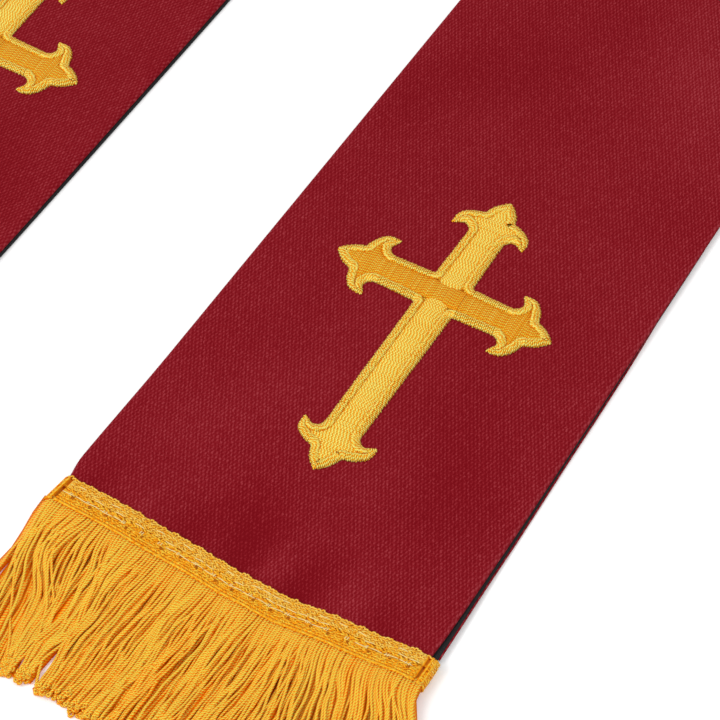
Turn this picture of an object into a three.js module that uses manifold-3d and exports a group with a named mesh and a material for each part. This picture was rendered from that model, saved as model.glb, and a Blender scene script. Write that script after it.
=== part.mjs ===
// Clergy stole, laid flat with its face up. Millimetres, +Z up.
// The fringed ends point to -Y and the neck lies at +Y. The underside rests at Z = 0,
// and the origin is the middle of the outline on that surface.
// A place on either half is given by its station, the distance from the fringed end of that
// half towards the neck, and by across, the distance from the inner edge of the panel.

import * as THREE from "three";
import { mergeVertices } from "three/addons/utils/BufferGeometryUtils.js";
import Module from "manifold-3d";

// Cut of each half
const END_WIDTH = 119.6;
const TAPER = 0.021;
const PANEL_GAP = 65;
const NECK_RADIUS = 60;
const SHOULDER = 1090;
const FLARE_START = 470;
const NECK_REFERENCE_RADIUS = 107;
const LEFT_END_SHIFT = 15.5;
const SEAM_GAP = 0.3;

// Layers, from the surface up
const LINING_THICKNESS = 1.0;
const FRONT_THICKNESS = 1.4;
const LAYER_GAP = 0.3;
const LINING_PEEK = 0.6;
const CORNER_LIFT = 1.4;
const LIFT_FULL_INWARD = 13;
const LIFT_ENDS_INWARD = 40;
const LIFT_FULL_UPWARD = 10;
const LIFT_ENDS_UPWARD = 62;

// Embroidered cross
const CROSS_STATION = 119.7;
const CROSS_SIDE_ARM = 36.2;
const CROSS_TOP_ARM = 41.8;
const CROSS_FOOT_ARM = 74.2;
const CROSS_BEAM = 12.4;
const CROSS_HEIGHT = 1.0;

// Fringe: a braided header sewn over the end of the panel, and its strands
const HEADER_FROM = -3.0;
const HEADER_TO = 6.2;
const HEADER_THICKNESS = 1.1;
const HEADER_OVERHANG = 2.9;
const HEADER_TAB = 11;
const FRINGE_DROP = 55;
const STRANDS = 100;
const STRAND_RADIUS = 0.46;
const STRAND_OVERHANG = 1.2;
const STRAND_ROOT = 0.9;
const STRAND_CLEARANCE = 0.35;
const STRAND_SHORTER = 3.5;
const INNER_LEAN = -3;
const OUTER_LEAN = 19;
const LOCKS = 5.4;
const LOCK_PULL = 1.1;

const COLOURS = {
  crimson: { color: 0x8c1c25, roughness: 0.72, metalness: 0 },
  black: { color: 0x1c191b, roughness: 0.6, metalness: 0 },
  goldThread: { color: 0xe8bf45, roughness: 0.45, metalness: 0 },
  goldFringe: { color: 0xdc9822, roughness: 0.5, metalness: 0 },
};

// The two halves share one cut. The left one lies a little further up than the right one,
// so the seam at the centre back sits to the right of the axis by half of that.
const HALVES = [
  { name: "right", side: 1, endShift: 0, crossAcross: 57.9 },
  { name: "left", side: -1, endShift: LEFT_END_SHIFT, crossAcross: 55.5 },
];
const NECK_ARC = (NECK_REFERENCE_RADIUS * Math.PI) / 2;
const HALF_LENGTH = SHOULDER + NECK_ARC - LEFT_END_SHIFT / 2 - SEAM_GAP / 2;

const smoothstep = THREE.MathUtils.smoothstep;
const panelWidth = (station) => END_WIDTH - TAPER * Math.max(station, 0);

function innerEdge(y) {
  const flare = smoothstep(y, FLARE_START, SHOULDER);
  return THREE.MathUtils.lerp(PANEL_GAP / 2, NECK_RADIUS, flare);
}

// A point of the laid stole: straight up to the shoulder, then round the neck.
function place(half, station, across, height) {
  const y = station + half.endShift;
  if (y <= SHOULDER) {
    return new THREE.Vector3(half.side * (innerEdge(y) + across), y, height);
  }
  const angle = (y - SHOULDER) / NECK_REFERENCE_RADIUS;
  const radius = NECK_RADIUS + across;
  const x = half.side * radius * Math.cos(angle);
  return new THREE.Vector3(x, SHOULDER + radius * Math.sin(angle), height);
}

// The two corners of each end are lifted by the folded tabs of the header beneath them.
function lift(station, across) {
  const fromEdge = Math.min(across, panelWidth(station) - across);
  const inward = 1 - smoothstep(fromEdge, LIFT_FULL_INWARD, LIFT_ENDS_INWARD);
  const upward = 1 - smoothstep(station, LIFT_FULL_UPWARD, LIFT_ENDS_UPWARD);
  return CORNER_LIFT * inward * upward;
}

// Sections of a cloth layer: close together over the lift, then even up to the neck's seam.
const SECTION_STRETCHES = [
  { to: LIFT_FULL_UPWARD, steps: 2 },
  { to: LIFT_ENDS_UPWARD, steps: 5 },
  { to: SHOULDER, steps: 22 },
  { to: HALF_LENGTH, steps: 13 },
];

function sectionStations() {
  const list = [0];
  for (const stretch of SECTION_STRETCHES) {
    const from = list.at(-1);
    for (let i = 1; i <= stretch.steps; i++) {
      list.push(THREE.MathUtils.lerp(from, stretch.to, i / stretch.steps));
    }
  }
  return list;
}

// Closed solid from a row of rings. Each ring is a loop of points that all lie in one section,
// and sectionTriangles fills a section.
function loft(rings, sectionTriangles) {
  const size = rings[0].length;
  const positions = rings.flat().flatMap((point) => point.toArray());
  const index = [];
  for (let row = 0; row + 1 < rings.length; row++) {
    for (let i = 0; i < size; i++) {
      const a = row * size + i;
      const b = row * size + ((i + 1) % size);
      index.push(a, b, b + size, a, b + size, a + size);
    }
  }
  const last = (rings.length - 1) * size;
  for (const [a, b, c] of sectionTriangles) {
    index.push(a, c, b);
    index.push(last + a, last + b, last + c);
  }
  return solidGeometry(positions, index);
}

// Geometry whose faces point out, whichever way its rings were wound.
function solidGeometry(positions, index) {
  const geometry = new THREE.BufferGeometry();
  geometry.setAttribute("position", new THREE.Float32BufferAttribute(positions, 3));
  if (signedVolume(positions, index) < 0) {
    for (let i = 0; i < index.length; i += 3) {
      [index[i], index[i + 1]] = [index[i + 1], index[i]];
    }
  }
  geometry.setIndex(index);
  return geometry;
}

function signedVolume(positions, index) {
  const corner = (i) => new THREE.Vector3().fromArray(positions, index[i] * 3);
  let volume = 0;
  for (let i = 0; i < index.length; i += 3) {
    volume += corner(i).dot(corner(i + 1).cross(corner(i + 2))) / 6;
  }
  return volume;
}

// A cloth layer. Columns run across the panel, each with its lower and upper face over the
// surface before the lift is added.
function clothLayer(half, columnsAt) {
  const rings = sectionStations().map((station) => {
    const columns = columnsAt(panelWidth(station));
    const point = (column, height) =>
      place(half, station, column.across, height + lift(station, column.across));
    const upper = columns.map((column) => point(column, column.upper));
    const lower = columns.map((column) => point(column, column.lower));
    return [...upper, ...lower.reverse()];
  });
  const count = rings[0].length / 2;
  const sectionTriangles = [];
  for (let i = 0; i + 1 < count; i++) {
    const under = 2 * count - 1 - i;
    sectionTriangles.push([i, i + 1, under - 1], [i, under - 1, under]);
  }
  return loft(rings, sectionTriangles);
}

// Columns of one side of a layer, and the same ones mirrored on the other side.
function mirroredColumns(width, side) {
  const mirrored = side.map((column) => ({ ...column, across: width - column.across }));
  return [...side, { ...side.at(-1), across: width / 2 }, ...mirrored.reverse()];
}

const FRONT_FLOOR = LINING_THICKNESS + LAYER_GAP;
const FRONT_TOP = FRONT_FLOOR + FRONT_THICKNESS;
const RIM_TOP = FRONT_TOP + 0.15;
const RIM_WIDTH = 3;

// The face cloth is turned under along both edges, which leaves a soft raised rim.
const frontColumns = (width) =>
  mirroredColumns(width, [
    { across: 0, lower: FRONT_FLOOR, upper: FRONT_FLOOR + 0.7 },
    { across: RIM_WIDTH, lower: FRONT_FLOOR, upper: RIM_TOP },
    { across: LIFT_FULL_INWARD, lower: FRONT_FLOOR, upper: FRONT_TOP },
    { across: LIFT_ENDS_INWARD, lower: FRONT_FLOOR, upper: FRONT_TOP },
  ]);

// The lining shows past the face cloth as a thin dark line.
const liningColumns = (width) =>
  mirroredColumns(width, [
    { across: -LINING_PEEK, lower: 0, upper: LINING_THICKNESS - 0.25 },
    { across: LIFT_FULL_INWARD, lower: 0, upper: LINING_THICKNESS },
    { across: LIFT_ENDS_INWARD, lower: 0, upper: LINING_THICKNESS },
  ]);

// One side of an arm's end, from its tip to the beam: a pointed petal, then a curled one.
// Each row is a curve that bends towards its pull point, as distances from the tip and across.
const PETAL_CURVES = [
  { pullFromTip: 3.2, pullAcross: 4.3, fromTip: 7.0, across: 4.8 },
  { pullFromTip: 7.6, pullAcross: 8.6, fromTip: 9.6, across: 10.6 },
  { pullFromTip: 11.2, pullAcross: 12.6, fromTip: 15.0, across: 11.9 },
  { pullFromTip: 14.4, pullAcross: 10.3, fromTip: 13.4, across: 9.2 },
  { pullFromTip: 13.2, pullAcross: 6.9, fromTip: 15.6, across: 5.8 },
];

const CROSS_ARMS = [
  { length: CROSS_TOP_ARM, turn: 0 },
  { length: CROSS_SIDE_ARM, turn: -90 },
  { length: CROSS_FOOT_ARM, turn: 180 },
  { length: CROSS_SIDE_ARM, turn: 90 },
];

// Outline of the cross about its centre, with its top arm along +Y.
function crossShape() {
  const shape = new THREE.Shape();
  const centre = new THREE.Vector2();
  CROSS_ARMS.forEach((arm, number) => {
    const turn = THREE.MathUtils.degToRad(arm.turn);
    const at = (fromTip, across) =>
      new THREE.Vector2(across, arm.length - fromTip).rotateAround(centre, turn);
    const corner = at(arm.length - CROSS_BEAM / 2, -CROSS_BEAM / 2);
    if (number === 0) {
      shape.moveTo(corner.x, corner.y);
    } else {
      shape.lineTo(corner.x, corner.y);
    }
    const beam = PETAL_CURVES.at(-1);
    const beamEnd = at(beam.fromTip, -beam.across);
    shape.lineTo(beamEnd.x, beamEnd.y);
    addPetals(shape, at);
  });
  return shape;
}

// Both sides of an arm's end: in towards the tip on one side, and out from it on the other.
function addPetals(shape, at) {
  const starts = [{ fromTip: 0, across: 0 }, ...PETAL_CURVES];
  for (let i = PETAL_CURVES.length - 1; i >= 0; i--) {
    const pull = at(PETAL_CURVES[i].pullFromTip, -PETAL_CURVES[i].pullAcross);
    const end = at(starts[i].fromTip, -starts[i].across);
    shape.quadraticCurveTo(pull.x, pull.y, end.x, end.y);
  }
  for (const curve of PETAL_CURVES) {
    const pull = at(curve.pullFromTip, curve.pullAcross);
    const end = at(curve.fromTip, curve.across);
    shape.quadraticCurveTo(pull.x, pull.y, end.x, end.y);
  }
}

// The cross is laid on the panel's own points and raised above them.
function crossGeometry(half) {
  const geometry = new THREE.ExtrudeGeometry(crossShape(), {
    depth: CROSS_HEIGHT,
    curveSegments: 4,
    bevelEnabled: false,
  });
  geometry.deleteAttribute("normal");
  geometry.deleteAttribute("uv");
  const merged = mergeVertices(geometry);
  const position = merged.getAttribute("position");
  const bottom = FRONT_TOP + LAYER_GAP;
  for (let i = 0; i < position.count; i++) {
    const station = CROSS_STATION + position.getY(i);
    const across = half.crossAcross + half.side * position.getX(i);
    const height = bottom + position.getZ(i) + lift(station, across);
    const point = place(half, station, across, height);
    position.setXYZ(i, point.x, point.y, point.z);
  }
  return solidGeometry([...position.array], [...merged.index.array]);
}

// Header braid: one strip over the face of the panel, folded round both edges to a short tab
// beneath each corner. This is its section at one station, first the inside, then the outside.
function headerSection(station) {
  const onCloth = Math.max(station, 0);
  const width = panelWidth(onCloth);
  const wall = HEADER_THICKNESS;
  const edgeTop = CORNER_LIFT + RIM_TOP + LAYER_GAP;
  const middleTop = FRONT_TOP + LAYER_GAP;
  const outerWall = -HEADER_OVERHANG;
  const innerWall = wall - HEADER_OVERHANG;
  const outerRound = 1.2;
  const innerRound = 0.4;
  const outsideHalf = [
    { across: HEADER_TAB, height: 0 },
    { across: outerWall + outerRound, height: 0 },
    { across: outerWall, height: outerRound },
    { across: outerWall, height: edgeTop + wall - outerRound },
    { across: outerWall + outerRound, height: edgeTop + wall },
    { across: LIFT_FULL_INWARD, height: edgeTop + wall },
    { across: LIFT_ENDS_INWARD, height: middleTop + wall },
  ];
  const insideHalf = [
    { across: HEADER_TAB, height: wall },
    { across: innerWall + innerRound, height: wall },
    { across: innerWall, height: wall + innerRound },
    { across: innerWall, height: edgeTop - innerRound },
    { across: innerWall + innerRound, height: edgeTop },
    { across: LIFT_FULL_INWARD, height: edgeTop },
    { across: LIFT_ENDS_INWARD, height: middleTop },
  ];
  const mirror = (points) =>
    points.map((point) => ({ ...point, across: width - point.across })).reverse();
  const outside = [...outsideHalf, ...mirror(outsideHalf)];
  const inside = [...insideHalf, ...mirror(insideHalf)];
  return [...inside, ...outside.reverse()];
}

function headerGeometry(half) {
  const headerStations = [HEADER_FROM, 0, HEADER_TO];
  const sections = headerStations.map(headerSection);
  const flat = sections[0].map((point) => new THREE.Vector2(point.across, point.height));
  const sectionTriangles = THREE.ShapeUtils.triangulateShape(flat, []);
  const rings = sections.map((section, row) =>
    section.map((point) => place(half, headerStations[row], point.across, point.height)),
  );
  return loft(rings, sectionTriangles);
}

// Repeatable value from 0 to 1 for a strand, so that the strands differ in length.
const varied = (number) => {
  const value = Math.sin(number * 12.9898) * 43758.5453;
  return value - Math.floor(value);
};

// A strand's middle line: out of the header, down to the surface, and along it to the tip.
// Every second strand lies on its neighbours, and the strands gather into soft locks.
function strandPath(half, number) {
  const share = number / (STRANDS - 1);
  const start = THREE.MathUtils.lerp(-STRAND_OVERHANG, END_WIDTH + STRAND_OVERHANG, share);
  const lean = THREE.MathUtils.degToRad(THREE.MathUtils.lerp(INNER_LEAN, OUTER_LEAN, share));
  const drop = number === 0 ? FRINGE_DROP : FRINGE_DROP - STRAND_SHORTER * varied(number);
  const edge = THREE.MathUtils.clamp(start, 0, END_WIDTH);
  const rootHeight = lift(0, edge) + FRONT_TOP + LAYER_GAP + HEADER_THICKNESS / 2;
  const restHeight = STRAND_RADIUS + STRAND_CLEARANCE + 2 * STRAND_RADIUS * (number % 2);
  const steps = [
    { along: 0, height: rootHeight },
    { along: 0.12, height: rootHeight - 0.5 },
    { along: 0.42, height: restHeight + 0.6 },
    { along: 1, height: restHeight },
  ];
  return steps.map(({ along, height }) => {
    const station = THREE.MathUtils.lerp(HEADER_FROM + STRAND_ROOT, -drop, along);
    const run = Math.max(HEADER_FROM - station, 0);
    const gathered = LOCK_PULL * Math.sin(share * LOCKS * 2 * Math.PI) * along * along;
    return place(half, station, start + Math.tan(lean) * run + gathered, height);
  });
}

// Three-sided strand round its path.
function strandGeometry(half, number) {
  const sides = 3;
  const rings = strandPath(half, number).map((centre) => {
    const ring = [];
    for (let side = 0; side < sides; side++) {
      const angle = (side / sides) * 2 * Math.PI + Math.PI / 2;
      const offset = new THREE.Vector3(Math.cos(angle), 0, Math.sin(angle));
      ring.push(centre.clone().addScaledVector(offset, STRAND_RADIUS));
    }
    return ring;
  });
  return loft(rings, [[0, 1, 2]]);
}

const wasm = await Module();
wasm.setup();

function toManifold(geometry) {
  const mesh = new wasm.Mesh({
    numProp: 3,
    vertProperties: Float32Array.from(geometry.getAttribute("position").array),
    triVerts: Uint32Array.from(geometry.index.array),
  });
  return new wasm.Manifold(mesh);
}

function fromManifold(solid) {
  const mesh = solid.getMesh();
  return solidGeometry([...mesh.vertProperties], [...mesh.triVerts]);
}

// The strands are fused into the header that holds their roots.
function fringeGeometry(half) {
  let fringe = toManifold(headerGeometry(half));
  for (let number = 0; number < STRANDS; number++) {
    fringe = fringe.add(toManifold(strandGeometry(half, number)));
  }
  return fromManifold(fringe);
}

function addPiece(group, name, geometry, colour) {
  const mesh = new THREE.Mesh(geometry, new THREE.MeshStandardMaterial(COLOURS[colour]));
  mesh.name = name;
  group.add(mesh);
}

const laidStole = new THREE.Group();
for (const half of HALVES) {
  addPiece(laidStole, `front_${half.name}`, clothLayer(half, frontColumns), "crimson");
  addPiece(laidStole, `lining_${half.name}`, clothLayer(half, liningColumns), "black");
  addPiece(laidStole, `cross_${half.name}`, crossGeometry(half), "goldThread");
  addPiece(laidStole, `fringe_${half.name}`, fringeGeometry(half), "goldFringe");
}

const outline = new THREE.Box3().setFromObject(laidStole);
const middle = outline.getCenter(new THREE.Vector3());
laidStole.position.set(-middle.x, -middle.y, 0);

const stole = new THREE.Group();
stole.add(laidStole);
export default stole;
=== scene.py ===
import math
from collections import namedtuple

import bpy
import numpy as np
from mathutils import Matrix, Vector
from mathutils.geometry import tessellate_polygon


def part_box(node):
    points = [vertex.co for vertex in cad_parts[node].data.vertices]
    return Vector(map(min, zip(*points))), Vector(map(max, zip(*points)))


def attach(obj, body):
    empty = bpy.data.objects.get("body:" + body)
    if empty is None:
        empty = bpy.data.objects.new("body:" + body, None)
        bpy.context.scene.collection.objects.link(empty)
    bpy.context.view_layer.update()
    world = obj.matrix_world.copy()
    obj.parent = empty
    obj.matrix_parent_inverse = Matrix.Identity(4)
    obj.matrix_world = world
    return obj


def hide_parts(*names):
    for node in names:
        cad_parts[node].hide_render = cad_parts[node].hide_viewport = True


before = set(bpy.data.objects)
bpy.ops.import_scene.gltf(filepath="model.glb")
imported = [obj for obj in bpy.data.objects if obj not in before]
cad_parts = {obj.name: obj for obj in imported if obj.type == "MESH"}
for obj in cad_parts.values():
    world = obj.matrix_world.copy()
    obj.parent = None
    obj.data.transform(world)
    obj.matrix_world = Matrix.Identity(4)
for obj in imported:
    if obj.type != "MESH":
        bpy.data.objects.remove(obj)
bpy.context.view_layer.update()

# A clergy stole laid flat. Sizes are in millimetres, and MM turns them into metres.
# A place on a half is given by its station, up from its fringed end, and by across, from the
# inner edge of its panel, as in the part's own source.
MM = 0.001

# Cut and layout of each half
END_WIDTH = 119.6
TAPER = 0.021
PANEL_GAP = 65.0
NECK_RADIUS = 60.0
NECK_REFERENCE_RADIUS = 107.0
SHOULDER = 1090.0
FLARE_START = 470.0
LEFT_END_SHIFT = 15.5
SEAM_GAP = 0.3
HALF_LENGTH = SHOULDER + NECK_REFERENCE_RADIUS * math.pi / 2 - LEFT_END_SHIFT / 2 - SEAM_GAP / 2

# Layers, up from the surface
LINING_TOP = 1.0
FACE_FLOOR = 1.3
FACE_TOP = 2.7
RIM_HEIGHT = 0.15
EDGE_ROLL = 1.5
CORNER_LIFT = 1.4
LIFT_FULL_INWARD = 13.0
LIFT_ENDS_INWARD = 40.0
LIFT_FULL_UPWARD = 10.0
LIFT_ENDS_UPWARD = 62.0

# Embroidered cross
CROSS_STATION = 119.7
CROSS_SIDE_ARM = 36.2
CROSS_TOP_ARM = 41.8
CROSS_FOOT_ARM = 74.2
CROSS_BEAM = 12.4
BORDER_WIDTH = 2.8
BORDER_RIDGE = 1.05
BORDER_PITCH = 0.60
BORDER_RADIUS = 0.32
FILL_HEIGHT = 0.78
FILL_PITCH = 0.56
FILL_RADIUS = 0.37

# Braid over the end, folded round both edges
BRAID_FROM = -3.0
BRAID_WALL = 0.75
BRAID_TAB = 11.0
INNER_BULGE = 0.6
INNER_LEAN = 0.12
OUTER_BULGE = 1.7
BRAID_REPEAT = 6.1
FOLDS = (1.9, END_WIDTH - 0.4)

# Fringe
STRAND_RADIUS = 0.47
PLY_STEP = 0.95
STRAND_DROP = 53.0
LAYER_SPACING = 0.46
LOCK_WIDTH = 4.2
FALL = 19.0
TIP_LOOP = 0.95

Half = namedtuple("Half", "name side end_shift cross_across cross_turn flip")
RIGHT = Half("right", 1, 0.0, 57.9, 0.45, False)
LEFT = Half("left", -1, LEFT_END_SHIFT, 55.5, 0.0, True)
HALVES = (RIGHT, LEFT)

AXIS_X = (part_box("lining_left")[0].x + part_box("lining_right")[1].x) / 2
END_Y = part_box("front_right")[0].y


# Small sums used by every piece

def smoothstep(value, low, high):
    share = np.clip((value - low) / (high - low), 0.0, 1.0)
    return share * share * (3.0 - 2.0 * share)


def mix(low, high, share):
    return low + (high - low) * share


def faded(distance, height, reach):
    """A height that fades to nothing over its reach."""
    return height * (1.0 - smoothstep(distance, 0.0, reach))


def through_knots(value, knots):
    """Soft curve through (place, height) knots: level at each knot, as cloth lies."""
    places, heights = np.array(knots, float).T
    slot = np.clip(np.searchsorted(places, value, side="right") - 1, 0, len(places) - 2)
    share = smoothstep(value, places[slot], places[slot + 1])
    return mix(heights[slot], heights[slot + 1], share)


def unit(vectors):
    return vectors / np.maximum(np.linalg.norm(vectors, axis=-1, keepdims=True), 1e-12)


def turned(points, degrees):
    """Plane points turned to the left about zero."""
    across, up = points[..., 0], points[..., 1]
    cos, sin = math.cos(math.radians(degrees)), math.sin(math.radians(degrees))
    return np.stack([across * cos - up * sin, across * sin + up * cos], -1)


def length_along(points):
    """Length of each line from its start to each of its points, which run along the last axis
    but one."""
    steps = np.linalg.norm(np.diff(points, axis=-2), axis=-1)
    return np.concatenate([np.zeros(steps.shape[:-1] + (1,)), np.cumsum(steps, -1)], -1)


def draws(half, seed):
    """Random numbers for one piece, the same in each run."""
    return np.random.default_rng(seed + half.side)


def jitter(random, reach, *shape):
    return random.uniform(-reach, reach, shape)


def panel_width(station):
    return END_WIDTH - TAPER * np.maximum(station, 0.0)


def place(half, station, across, height):
    """Points of the laid stole in metres: straight up to the shoulder, then round the neck."""
    station, across, height = np.broadcast_arrays(station, across, height)
    y = station + half.end_shift
    inner = mix(PANEL_GAP / 2, NECK_RADIUS, smoothstep(y, FLARE_START, SHOULDER))
    radius = inner + across
    angle = np.maximum(y - SHOULDER, 0.0) / NECK_REFERENCE_RADIUS
    x = half.side * radius * np.cos(angle)
    up = np.minimum(y, SHOULDER) + radius * np.sin(angle)
    return np.stack([AXIS_X + x * MM, END_Y + up * MM, height * MM], -1)


# Shape of the cloth: soft troughs and ridges that are placed one by one

Crease = namedtuple("Crease", "station across turn length width height")
CREASES = (
    Crease(9, 8, 10, 16, 4.0, -0.50),
    Crease(8, 25, -6, 22, 5.0, 0.55),
    Crease(12, 41, 8, 24, 5.5, -0.70),
    Crease(14, 56, -12, 32, 7.0, -1.15),
    Crease(10, 66, 4, 20, 4.0, 0.65),
    Crease(9, 77, 10, 24, 4.5, -1.00),
    Crease(12, 92, -8, 26, 6.0, 0.45),
    Crease(10, 104, -14, 22, 5.0, -0.50),
    Crease(52, 30, 35, 46, 13.0, 0.40),
    Crease(66, 96, -24, 60, 14.0, -0.45),
    Crease(205, 22, 28, 70, 15.0, -0.45),
    Crease(238, 84, -35, 80, 17.0, 0.50),
    Crease(330, 46, 62, 90, 18.0, -0.40),
    Crease(392, 80, -50, 80, 14.0, 0.35),
    Crease(505, 30, 74, 70, 12.0, -0.45),
    Crease(590, 72, 58, 90, 16.0, 0.40),
    Crease(700, 50, -66, 100, 15.0, -0.45),
    Crease(815, 30, 48, 80, 15.0, 0.40),
    Crease(905, 78, -58, 90, 14.0, -0.45),
    Crease(1010, 40, 70, 80, 12.0, 0.40),
    Crease(1100, 18, 82, 46, 6.0, -0.60),
    Crease(1128, 30, 96, 56, 7.0, 0.45),
    Crease(1160, 16, 88, 44, 6.0, -0.60),
    Crease(1192, 34, 92, 60, 8.0, 0.40),
    Crease(1222, 20, 84, 46, 6.0, -0.50),
)
# The left half has the same kinds of crease in other places: scaled, and shifted above the end
LEFT_CREASE_SCALE = 0.97
LEFT_CREASE_SHIFT = 6.0
LEFT_SHIFT_GROWS = (60.0, 200.0)

# Edges of the face cloth, by distance from them: the wall beneath the roll, and where the rim and
# the creases rise and fade. The dip at the centre-back seam is its depth and reach.
EDGE_WALL = 0.5
RIM_RISES = (0.3, 1.6)
RIM_FADES = (2.2, 7.0)
CREASES_RISE = (1.0, 7.0)
CREASES_STOP_AT_SEAM = 12.0
SEAM_DIP = (-0.7, 2.2)


def creases(half, station, across):
    """Height of the soft creases."""
    if half.flip:
        across = panel_width(station) - across
        shift = LEFT_CREASE_SHIFT * smoothstep(station, *LEFT_SHIFT_GROWS)
        station = station * LEFT_CREASE_SCALE + shift
    total = np.zeros(np.broadcast(station, across).shape)
    for crease in CREASES:
        turn = math.radians(crease.turn)
        up, side = station - crease.station, across - crease.across
        along = up * math.cos(turn) + side * math.sin(turn)
        over = side * math.cos(turn) - up * math.sin(turn)
        spread = (2 * along / crease.length) ** 2 + (over / crease.width) ** 2
        total += crease.height * np.exp(-spread)
    return total


def edge_distance(station, across):
    return np.minimum(across, panel_width(station) - across)


def lift(station, across):
    """Both corners of an end rest on the braid's folded tabs."""
    inward = 1.0 - smoothstep(edge_distance(station, across), LIFT_FULL_INWARD, LIFT_ENDS_INWARD)
    return CORNER_LIFT * inward * (1.0 - smoothstep(station, LIFT_FULL_UPWARD, LIFT_ENDS_UPWARD))


def cloth_top(half, station, across):
    """Height of the face cloth: rolled down along its edges, with a soft rim inside the roll."""
    distance = np.maximum(edge_distance(station, across), 0.0)
    to_seam = HALF_LENGTH - station
    roll = 1.0 - np.minimum(distance / EDGE_ROLL, 1.0)
    wall_top = FACE_FLOOR + EDGE_WALL
    shoulder = wall_top + (FACE_TOP - wall_top) * np.sqrt(np.maximum(1.0 - roll**2, 0.0))
    rim = RIM_HEIGHT * smoothstep(distance, *RIM_RISES) * (1.0 - smoothstep(distance, *RIM_FADES))
    kept = smoothstep(distance, *CREASES_RISE) * smoothstep(to_seam, 0.0, CREASES_STOP_AT_SEAM)
    creased = kept * creases(half, station, across)
    return shoulder + rim + lift(station, across) + creased + faded(to_seam, *SEAM_DIP)


# Mesh building

def enclosed(points, faces):
    """Six times the volume within the faces, below zero where they look inwards."""
    total = 0.0
    for block in faces:
        corners = points[block]
        for i in range(1, block.shape[1] - 1):
            total += (corners[:, 0] * np.cross(corners[:, i], corners[:, i + 1])).sum()
    return total


class Mesh:
    """Gathers points, faces and the faces' maps of many small forms into one mesh. A map has three
    numbers: a place on the cloth or thread, and its tone, how much lighter it is than the rest,
    which holds painted light and shade as well as the threads' own differences."""

    def __init__(self):
        self.points, self.faces, self.maps = [], [], []
        self.count = 0

    def add(self, points, faces, maps):
        """faces is an array of corner numbers, and maps gives three numbers for each corner. The
        faces are turned to look outwards."""
        points = points.reshape(-1, 3)
        order = 1 if enclosed(points - points.mean(0), faces) > 0 else -1
        self.points.append(points)
        for block, block_maps in zip(faces, maps):
            self.faces.append(block[:, ::order] + self.count)
            self.maps.append(block_maps[:, ::order])
        self.count += len(points)

    def build(self, name, material, smooth=True):
        corners = np.concatenate([block.ravel() for block in self.faces])
        sizes = np.concatenate([np.full(len(b), b.shape[1]) for b in self.faces])
        starts = np.concatenate([[0], np.cumsum(sizes)[:-1]])
        mesh = bpy.data.meshes.new(name)
        mesh.vertices.add(self.count)
        mesh.vertices.foreach_set("co", np.concatenate(self.points).astype(np.float32).ravel())
        mesh.loops.add(len(corners))
        mesh.loops.foreach_set("vertex_index", corners.astype(np.int32))
        mesh.polygons.add(len(sizes))
        mesh.polygons.foreach_set("loop_start", starts.astype(np.int32))
        mesh.polygons.foreach_set("loop_total", sizes.astype(np.int32))
        mesh.polygons.foreach_set("use_smooth", np.full(len(sizes), smooth))
        maps = np.concatenate([m.reshape(-1, 3) for m in self.maps]).astype(np.float32)
        layer = mesh.uv_layers.new(name="cloth")
        layer.data.foreach_set("uv", maps[:, :2].ravel())
        layer = mesh.uv_layers.new(name="tone")
        layer.data.foreach_set("uv", maps[:, [2, 2]].ravel())
        mesh.materials.append(material)
        mesh.update(calc_edges=True)
        mesh.validate()
        piece = bpy.data.objects.new(name, mesh)
        bpy.context.scene.collection.objects.link(piece)
        return piece


def ring_walls(near, far):
    """Faces between rings of corner numbers, which run along the last axis."""
    return np.stack([near, np.roll(near, -1, -1), np.roll(far, -1, -1), far], -1).reshape(-1, 4)


# How far apart the maps of two tubes are, which is more than the turns round one, where the top
# of a thread is in such turns, and how flat most threads lie
TUBE_STRIDE = 10.0
TOP_TURN = 0.25
FLATNESS = 0.85


def add_tubes(mesh, paths, wide, high, sides=4, turn=math.pi / 4, normals=None, first=0, tone=0.0):
    """Closed tubes along paths, an array of tubes by points by three, in metres. wide and high are
    half sizes in millimetres, turn is the angle of the section's first corner, and normals are the
    directions of high. Maps: turns round the tube plus a stride for each tube, millimetres along,
    and tone."""
    tubes, count = paths.shape[:2]
    tangent = unit(np.gradient(paths, axis=1))
    over = unit(np.cross(tangent, [0.0, 0.0, 1.0] if normals is None else normals))
    up = np.cross(over, tangent)
    angle = np.arange(sides) / sides * 2 * np.pi + turn
    wide, high = (np.broadcast_to(size, (tubes, count))[..., None] for size in (wide, high))
    out = (wide * np.cos(angle))[..., None] * over[:, :, None]
    out = out + (high * np.sin(angle))[..., None] * up[:, :, None]
    points = paths[:, :, None] + out * MM
    number = np.arange(tubes * count * sides).reshape(tubes, count, sides)
    walls = ring_walls(number[:, :-1], number[:, 1:])
    caps = np.concatenate([number[:, 0, ::-1], number[:, -1]])

    lanes = TUBE_STRIDE * (first + np.arange(tubes))
    turns = angle / (2 * np.pi) + lanes[:, None, None]
    along = length_along(paths)[..., None] / MM
    tones = np.broadcast_to(tone, (tubes, count))[..., None]
    near, far = slice(None, -1), slice(1, None)
    corners = [np.stack(np.broadcast_arrays(turns + beyond, along[:, row], tones[:, row]), -1)
               for beyond, row in ((0, near), (1 / sides, near), (1 / sides, far), (0, far))]
    cap_maps = np.zeros((2 * tubes, sides, 3))
    cap_maps[..., 0] = np.tile(lanes, 2)[:, None]
    mesh.add(points, [walls, caps], [np.stack(corners, -2).reshape(-1, 4, 3), cap_maps])


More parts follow.
